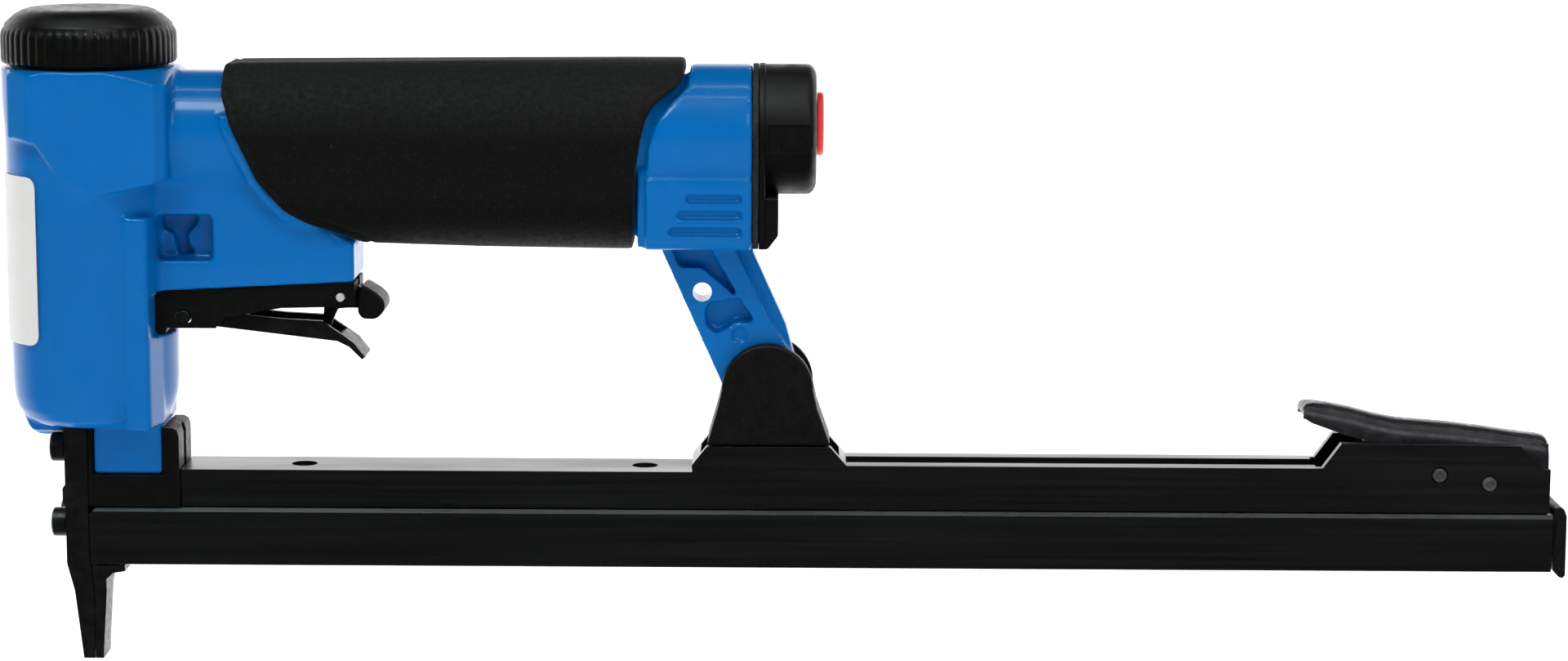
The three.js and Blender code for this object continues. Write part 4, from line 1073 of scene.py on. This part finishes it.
class GUN_OT_magazine(bpy.types.Operator):
    """Sliding channel with its staple rail, guide rod, end block, pull tab and pusher"""
    bl_idname = "gun.magazine"
    bl_label = "Sliding magazine"

    def execute(self, context):
        f = finish_set(context.scene)
        dressed("slide_channel", "magazine", f["anodised"], 0.14, 2, 20)
        dressed("slide_core", "magazine", f["steel"], 0.2, 2)
        dressed("slide_end_block", "magazine", f["plastic"], 0.4, 3)
        tab = prism(arcs(TAB_SIDE, TAB_ROUNDING), -7.4, 7.4, "y", 0.5, 3)
        pad = arc(330.6, 34.7, 0.95, 0, 180, 16) + arc(330.6, 30.4, 0.95, 180, 360, 16)
        tab = combine(tab, [prism(pad, -7.7, 7.7, "y", 0.2, 2)], "UNION")
        seat = turned(RIVET_SEAT, "x", (0, 0, RIVET_Z), 48)
        show(cut(tab, seat), "pull_tab_moulding", "magazine", f["tab"], ["pull_tab"])
        dressed("tab_rivet", "magazine", f["steel"], 0.3, 3)
        dressed("pusher", "pusher_body", f["black_steel"], 0.15, 2)
        guide = turned(GUIDE_ROD, "x", (0, 0, GUIDE_ROD_Z), 32)
        show(guide, "guide_rod_ground", "magazine", f["steel"], ["guide_rod"])
        return {"FINISHED"}


# ---------- inside the barrel ----------
SLEEVE_PROFILE = [
    (13, 58.9), (13.4, 58.5), (14.4, 58.5), (14.7, 58.9), (14.7, 117.6), (14.4, 118), (13.4, 118),
    (13, 117.6), (13, 58.9),
]


class GUN_OT_cylinder(bpy.types.Operator):
    """Cylinder sleeve, bumper, piston with its ring, driver blade and head valve"""
    bl_idname = "gun.cylinder"
    bl_label = "Firing cylinder"

    def execute(self, context):
        f = finish_set(context.scene)
        sleeve = turned(SLEEVE_PROFILE, "z", (BARREL_X, 0, 0))
        show(sleeve, "cylinder_sleeve_honed", "root", f["steel"], ["cylinder_sleeve"])
        dressed("bumper", "root", f["rubber"], 0.5, 3)
        dressed("piston", "piston_driver", f["steel"], 0.25, 2)
        dressed("piston_ring", "piston_driver", f["rubber"], 0.3, 3)
        dressed("driver_blade", "piston_driver", f["steel"], 0.1, 1)
        dressed("driver_pin", "piston_driver", f["steel"], 0.1, 2)
        dressed("head_valve_piston", "head_valve", f["plastic"], 0.3, 3)
        return {"FINISHED"}


def helix(name, radius, wire, turns, start, end, axis, centre, steps, sides=8):
    """A coil spring with closed ends, as a mesh tube whose ring of points follows the coil."""
    bm = bmesh.new()
    count = int(turns * steps)
    rings = []
    for i in range(count + 1):
        t = i / count
        angle = 2 * math.pi * turns * t
        closed = min(1.0, max(0.0, (t * turns - 1) / max(turns - 2, 1)))
        along = start + wire + (end - start - 2 * wire) * closed
        along += wire * 0.5 * (min(1, t * turns) - 1 + min(1, max(0, t * turns - turns + 1)))
        middle = Vector((radius * math.cos(angle), radius * math.sin(angle), along))
        out = Vector((math.cos(angle), math.sin(angle), 0))
        ring = [bm.verts.new(middle + (out * math.cos(a) + Vector((0, 0, 1)) * math.sin(a)) * wire / 2)
                for a in (2 * math.pi * k / sides for k in range(sides))]
        rings.append(ring)
    for a, b in zip(rings, rings[1:]):
        for k in range(sides):
            bm.faces.new((a[k], a[(k + 1) % sides], b[(k + 1) % sides], b[k]))
    bm.faces.new(rings[0][::-1])
    bm.faces.new(rings[-1])
    turn = {"z": Matrix.Identity(3), "x": Matrix.Rotation(math.pi / 2, 3, "Y")}[axis]
    bmesh.ops.rotate(bm, verts=bm.verts, cent=(0, 0, 0), matrix=turn)
    bmesh.ops.translate(bm, verts=bm.verts, vec=centre)
    return from_bmesh(bm, name)


# Name, coil radius, wire, turns, the two ends along the axis, axis and centre, then the joint that loads the
# spring, the way it is squashed, the end that stays, and the share of its length that is left.
MANY_TURNS = 40
COILS = (
    ("head_valve_spring", 8.2, 1.5, 6, 121.7, 139.7, "z", (BARREL_X, 0, 0),
     "head_valve_lift", (0, 0, 1), (0, 0, 0.1382), 0.861),
    ("valve_spring", 2.1, 0.8, 6, 89.9, 96, "z", (VALVE_X, 0, 0),
     "valve_stem_slide", (0, 0, 1), (0, 0, 0.0945), 0.79),
    ("latch_spring", 1.8, 0.8, 9, 43.7, 57.7, "z", (289, 0, 0),
     "latch_press", (0, 0, 1), (0, 0, 0.0422), 0.82),
    ("pusher_spring", 1.6, 0.55, 62, 38.3, 314.7, "x", (0, 0, GUIDE_ROD_Z),
     "pusher_slide", (1, 0, 0), (0.3147, 0, 0), 0.0955),
)


class GUN_OT_springs(bpy.types.Operator):
    """The four coil springs, each built at full length between the two ends listed for it"""
    bl_idname = "gun.springs"
    bl_label = "Coil springs"

    def execute(self, context):
        f = finish_set(context.scene)
        for node, radius, wire, turns, start, end, axis, centre, joint, way, anchor, keep in COILS:
            steps = 14 if turns > MANY_TURNS else 24
            coil = helix(node, radius, wire, turns, start, end, axis, centre, steps)
            body = "magazine" if node == "pusher_spring" else "root"
            show(coil, node + "_coil", body, f["steel"], [node], math.radians(60))
            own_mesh(coil)
        return {"FINISHED"}


LABEL_RING = [(18.35, 74.6), (19.15, 74.6), (19.15, 112), (18.7, 112), (18.35, 74.6)]
LABEL_WINDOW = [(-6.6, 74.7), (-6.6, 111.9), (-30, 111.9), (-30, 74.7)]


class GUN_OT_label(bpy.types.Operator):
    """Blank name label wrapped round the barrel"""
    bl_idname = "gun.label"
    bl_label = "Blank label"

    def execute(self, context):
        f = finish_set(context.scene)
        ring = turned(LABEL_RING, "z", (BARREL_X, 0, 0), 128)
        label = combine(ring, [prism(arcs(LABEL_WINDOW, 2.6, 8), -30, -6, "y")], "INTERSECT")
        show(label, "name_label_film", "root", f["label"], ["name_label"])
        return {"FINISHED"}


# ---------- stage ----------
FLOOR_HALF = 8
FLOOR_Z = -0.0006
AMBIENT = 0.03
CAMERA_PLACE = (0.1569, -0.8, 0.2025)
CAMERA_AIM = (0.1569, 0, 0.0751)
CAMERA_ROLL = math.radians(0.32)
STRIP_POWER = 3.0
STRIP_SIZE = (1.8, 0.03)


class GUN_OT_stage(bpy.types.Operator):
    """Pale floor, soft studio lights and the camera"""
    bl_idname = "gun.stage"
    bl_label = "Stage"

    @staticmethod
    def eased(tree, values):
        """A smooth step: from, to, and the values before and after it."""
        node = tree.nodes.new("ShaderNodeMapRange")
        node.interpolation_type = "SMOOTHSTEP"
        for socket, value in zip(node.inputs[1:5], values):
            socket.default_value = value
        return node

    def execute(self, context):
        scene = context.scene
        sizes = scene.gun_sizes
        self.floor(scene)
        self.backdrop(scene)
        self.lights(scene, sizes)
        self.camera(scene, sizes)
        scene.view_settings.view_transform = "Standard"
        return {"FINISHED"}

    @staticmethod
    def floor(scene):
        """White paper that gives its own light and is not mirrored in the paint."""
        bm = bmesh.new()
        bmesh.ops.create_grid(bm, x_segments=1, y_segments=1, size=FLOOR_HALF)
        bmesh.ops.translate(bm, verts=bm.verts, vec=(0.15, 0, FLOOR_Z))
        mesh = bpy.data.meshes.new("floor")
        bm.to_mesh(mesh)
        bm.free()
        floor = bpy.data.objects.new("floor", mesh)
        scene.collection.objects.link(floor)
        m = Nodes("floor_paper", (0.8, 0.8, 0.8), 0.9, Specular_IOR_Level=0.0, Emission_Strength=1.0)
        m.shader.inputs["Emission Color"].default_value = (1, 1, 1, 1)
        m.roughness(m.ramp(m.noise(30, 2), 0.3, 0.7, 0.86, 0.94))
        floor.data.materials.append(m.material)
        floor.visible_glossy = False

    def backdrop(self, scene):
        """Dim all round, and bright low down behind the tool."""
        world = bpy.data.worlds.new("studio")
        scene.world = world
        world.use_nodes = True
        tree = world.node_tree
        background = tree.nodes["Background"]
        background.inputs["Color"].default_value = (1.0, 0.99, 1.0, 1)
        way = tree.nodes.new("ShaderNodeTexCoord")
        split = tree.nodes.new("ShaderNodeSeparateXYZ")
        behind = self.eased(tree, (-0.12, 0.5, 0.0, 1.9))
        low_down = self.eased(tree, (0.25, 0.65, 1.0, 0.0))
        both = tree.nodes.new("ShaderNodeMath")
        both.operation = "MULTIPLY_ADD"
        both.inputs[2].default_value = AMBIENT
        tree.links.new(way.outputs["Generated"], split.inputs[0])
        tree.links.new(split.outputs["Y"], behind.inputs[0])
        tree.links.new(split.outputs["Z"], low_down.inputs[0])
        tree.links.new(behind.outputs[0], both.inputs[0])
        tree.links.new(low_down.outputs[0], both.inputs[1])
        tree.links.new(both.outputs[0], background.inputs["Strength"])

    @staticmethod
    def lights(scene, sizes):
        """Two soft boxes in front, and two long strips that draw thin highlights along the tool."""
        rows = (
            ("key", (-0.25, -0.75, 1.25), (0.12, 0, 0.08), (0.5, 0.35), sizes.key, (0.82, 1.0, 0.97)),
            ("fill", (0.75, -1.2, 0.9), (0.2, 0, 0.07), (0.9, 0.6), sizes.fill, (1.0, 0.86, 1.0)),
            ("strip_above", (0.15, 0.0, 1.25), (0.15, 0, 0.08), STRIP_SIZE, STRIP_POWER, (0.93, 1.0, 1.0)),
            ("strip_front", (0.15, -0.42, 1.2), (0.15, 0, 0.08), STRIP_SIZE, STRIP_POWER, (0.93, 1.0, 1.0)),
        )
        for name, place, aim, (wide, tall), power, tint in rows:
            light = bpy.data.lights.new(name, "AREA")
            light.shape = "RECTANGLE"
            light.size = wide
            light.size_y = tall
            light.energy = power
            light.color = tint
            lamp = bpy.data.objects.new(name, light)
            lamp.location = place
            lamp.rotation_euler = (Vector(aim) - Vector(place)).to_track_quat("-Z", "Y").to_euler()
            scene.collection.objects.link(lamp)

    @staticmethod
    def camera(scene, sizes):
        data = bpy.data.cameras.new("camera")
        data.lens = sizes.lens
        data.sensor_width = 36
        data.clip_start = 0.01
        camera = bpy.data.objects.new("camera", data)
        camera.location = CAMERA_PLACE
        look = (Vector(CAMERA_AIM) - camera.location).to_track_quat("-Z", "Y").to_matrix()
        camera.rotation_euler = (look @ Matrix.Rotation(CAMERA_ROLL, 3, "Z")).to_euler()
        scene.collection.objects.link(camera)
        scene.camera = camera


STEPS = (
    GUN_OT_stage, GUN_OT_housing, GUN_OT_cap, GUN_OT_grip, GUN_OT_rear, GUN_OT_trigger, GUN_OT_nose,
    GUN_OT_rail, GUN_OT_latch, GUN_OT_magazine, GUN_OT_cylinder, GUN_OT_springs, GUN_OT_label,
)


class GUN_PT_panel(bpy.types.Panel):
    """Sidebar panel with one button for each group"""
    bl_idname = "GUN_PT_panel"
    bl_label = "Staple gun"
    bl_space_type = "VIEW_3D"
    bl_region_type = "UI"
    bl_category = "Staple gun"

    def draw(self, context):
        for group in (context.scene.gun_sizes, context.scene.gun_colours):
            for name in group.bl_rna.properties.keys():
                if name not in ("rna_type", "name"):
                    self.layout.prop(group, name)
        for step in STEPS:
            self.layout.operator(step.bl_idname)


CLASSES = (GunSizes, GunColours, *STEPS, GUN_PT_panel)


def register():
    for cls in CLASSES:
        bpy.utils.register_class(cls)
    bpy.types.Scene.gun_sizes = PointerProperty(type=GunSizes)
    bpy.types.Scene.gun_colours = PointerProperty(type=GunColours)


def unregister():
    del bpy.types.Scene.gun_sizes
    del bpy.types.Scene.gun_colours
    for cls in reversed(CLASSES):
        bpy.utils.unregister_class(cls)


def main():
    register()
    for step in STEPS:
        group, name = step.bl_idname.split(".")
        getattr(getattr(bpy.ops, group), name)()


if __name__ == "__main__":
    main()
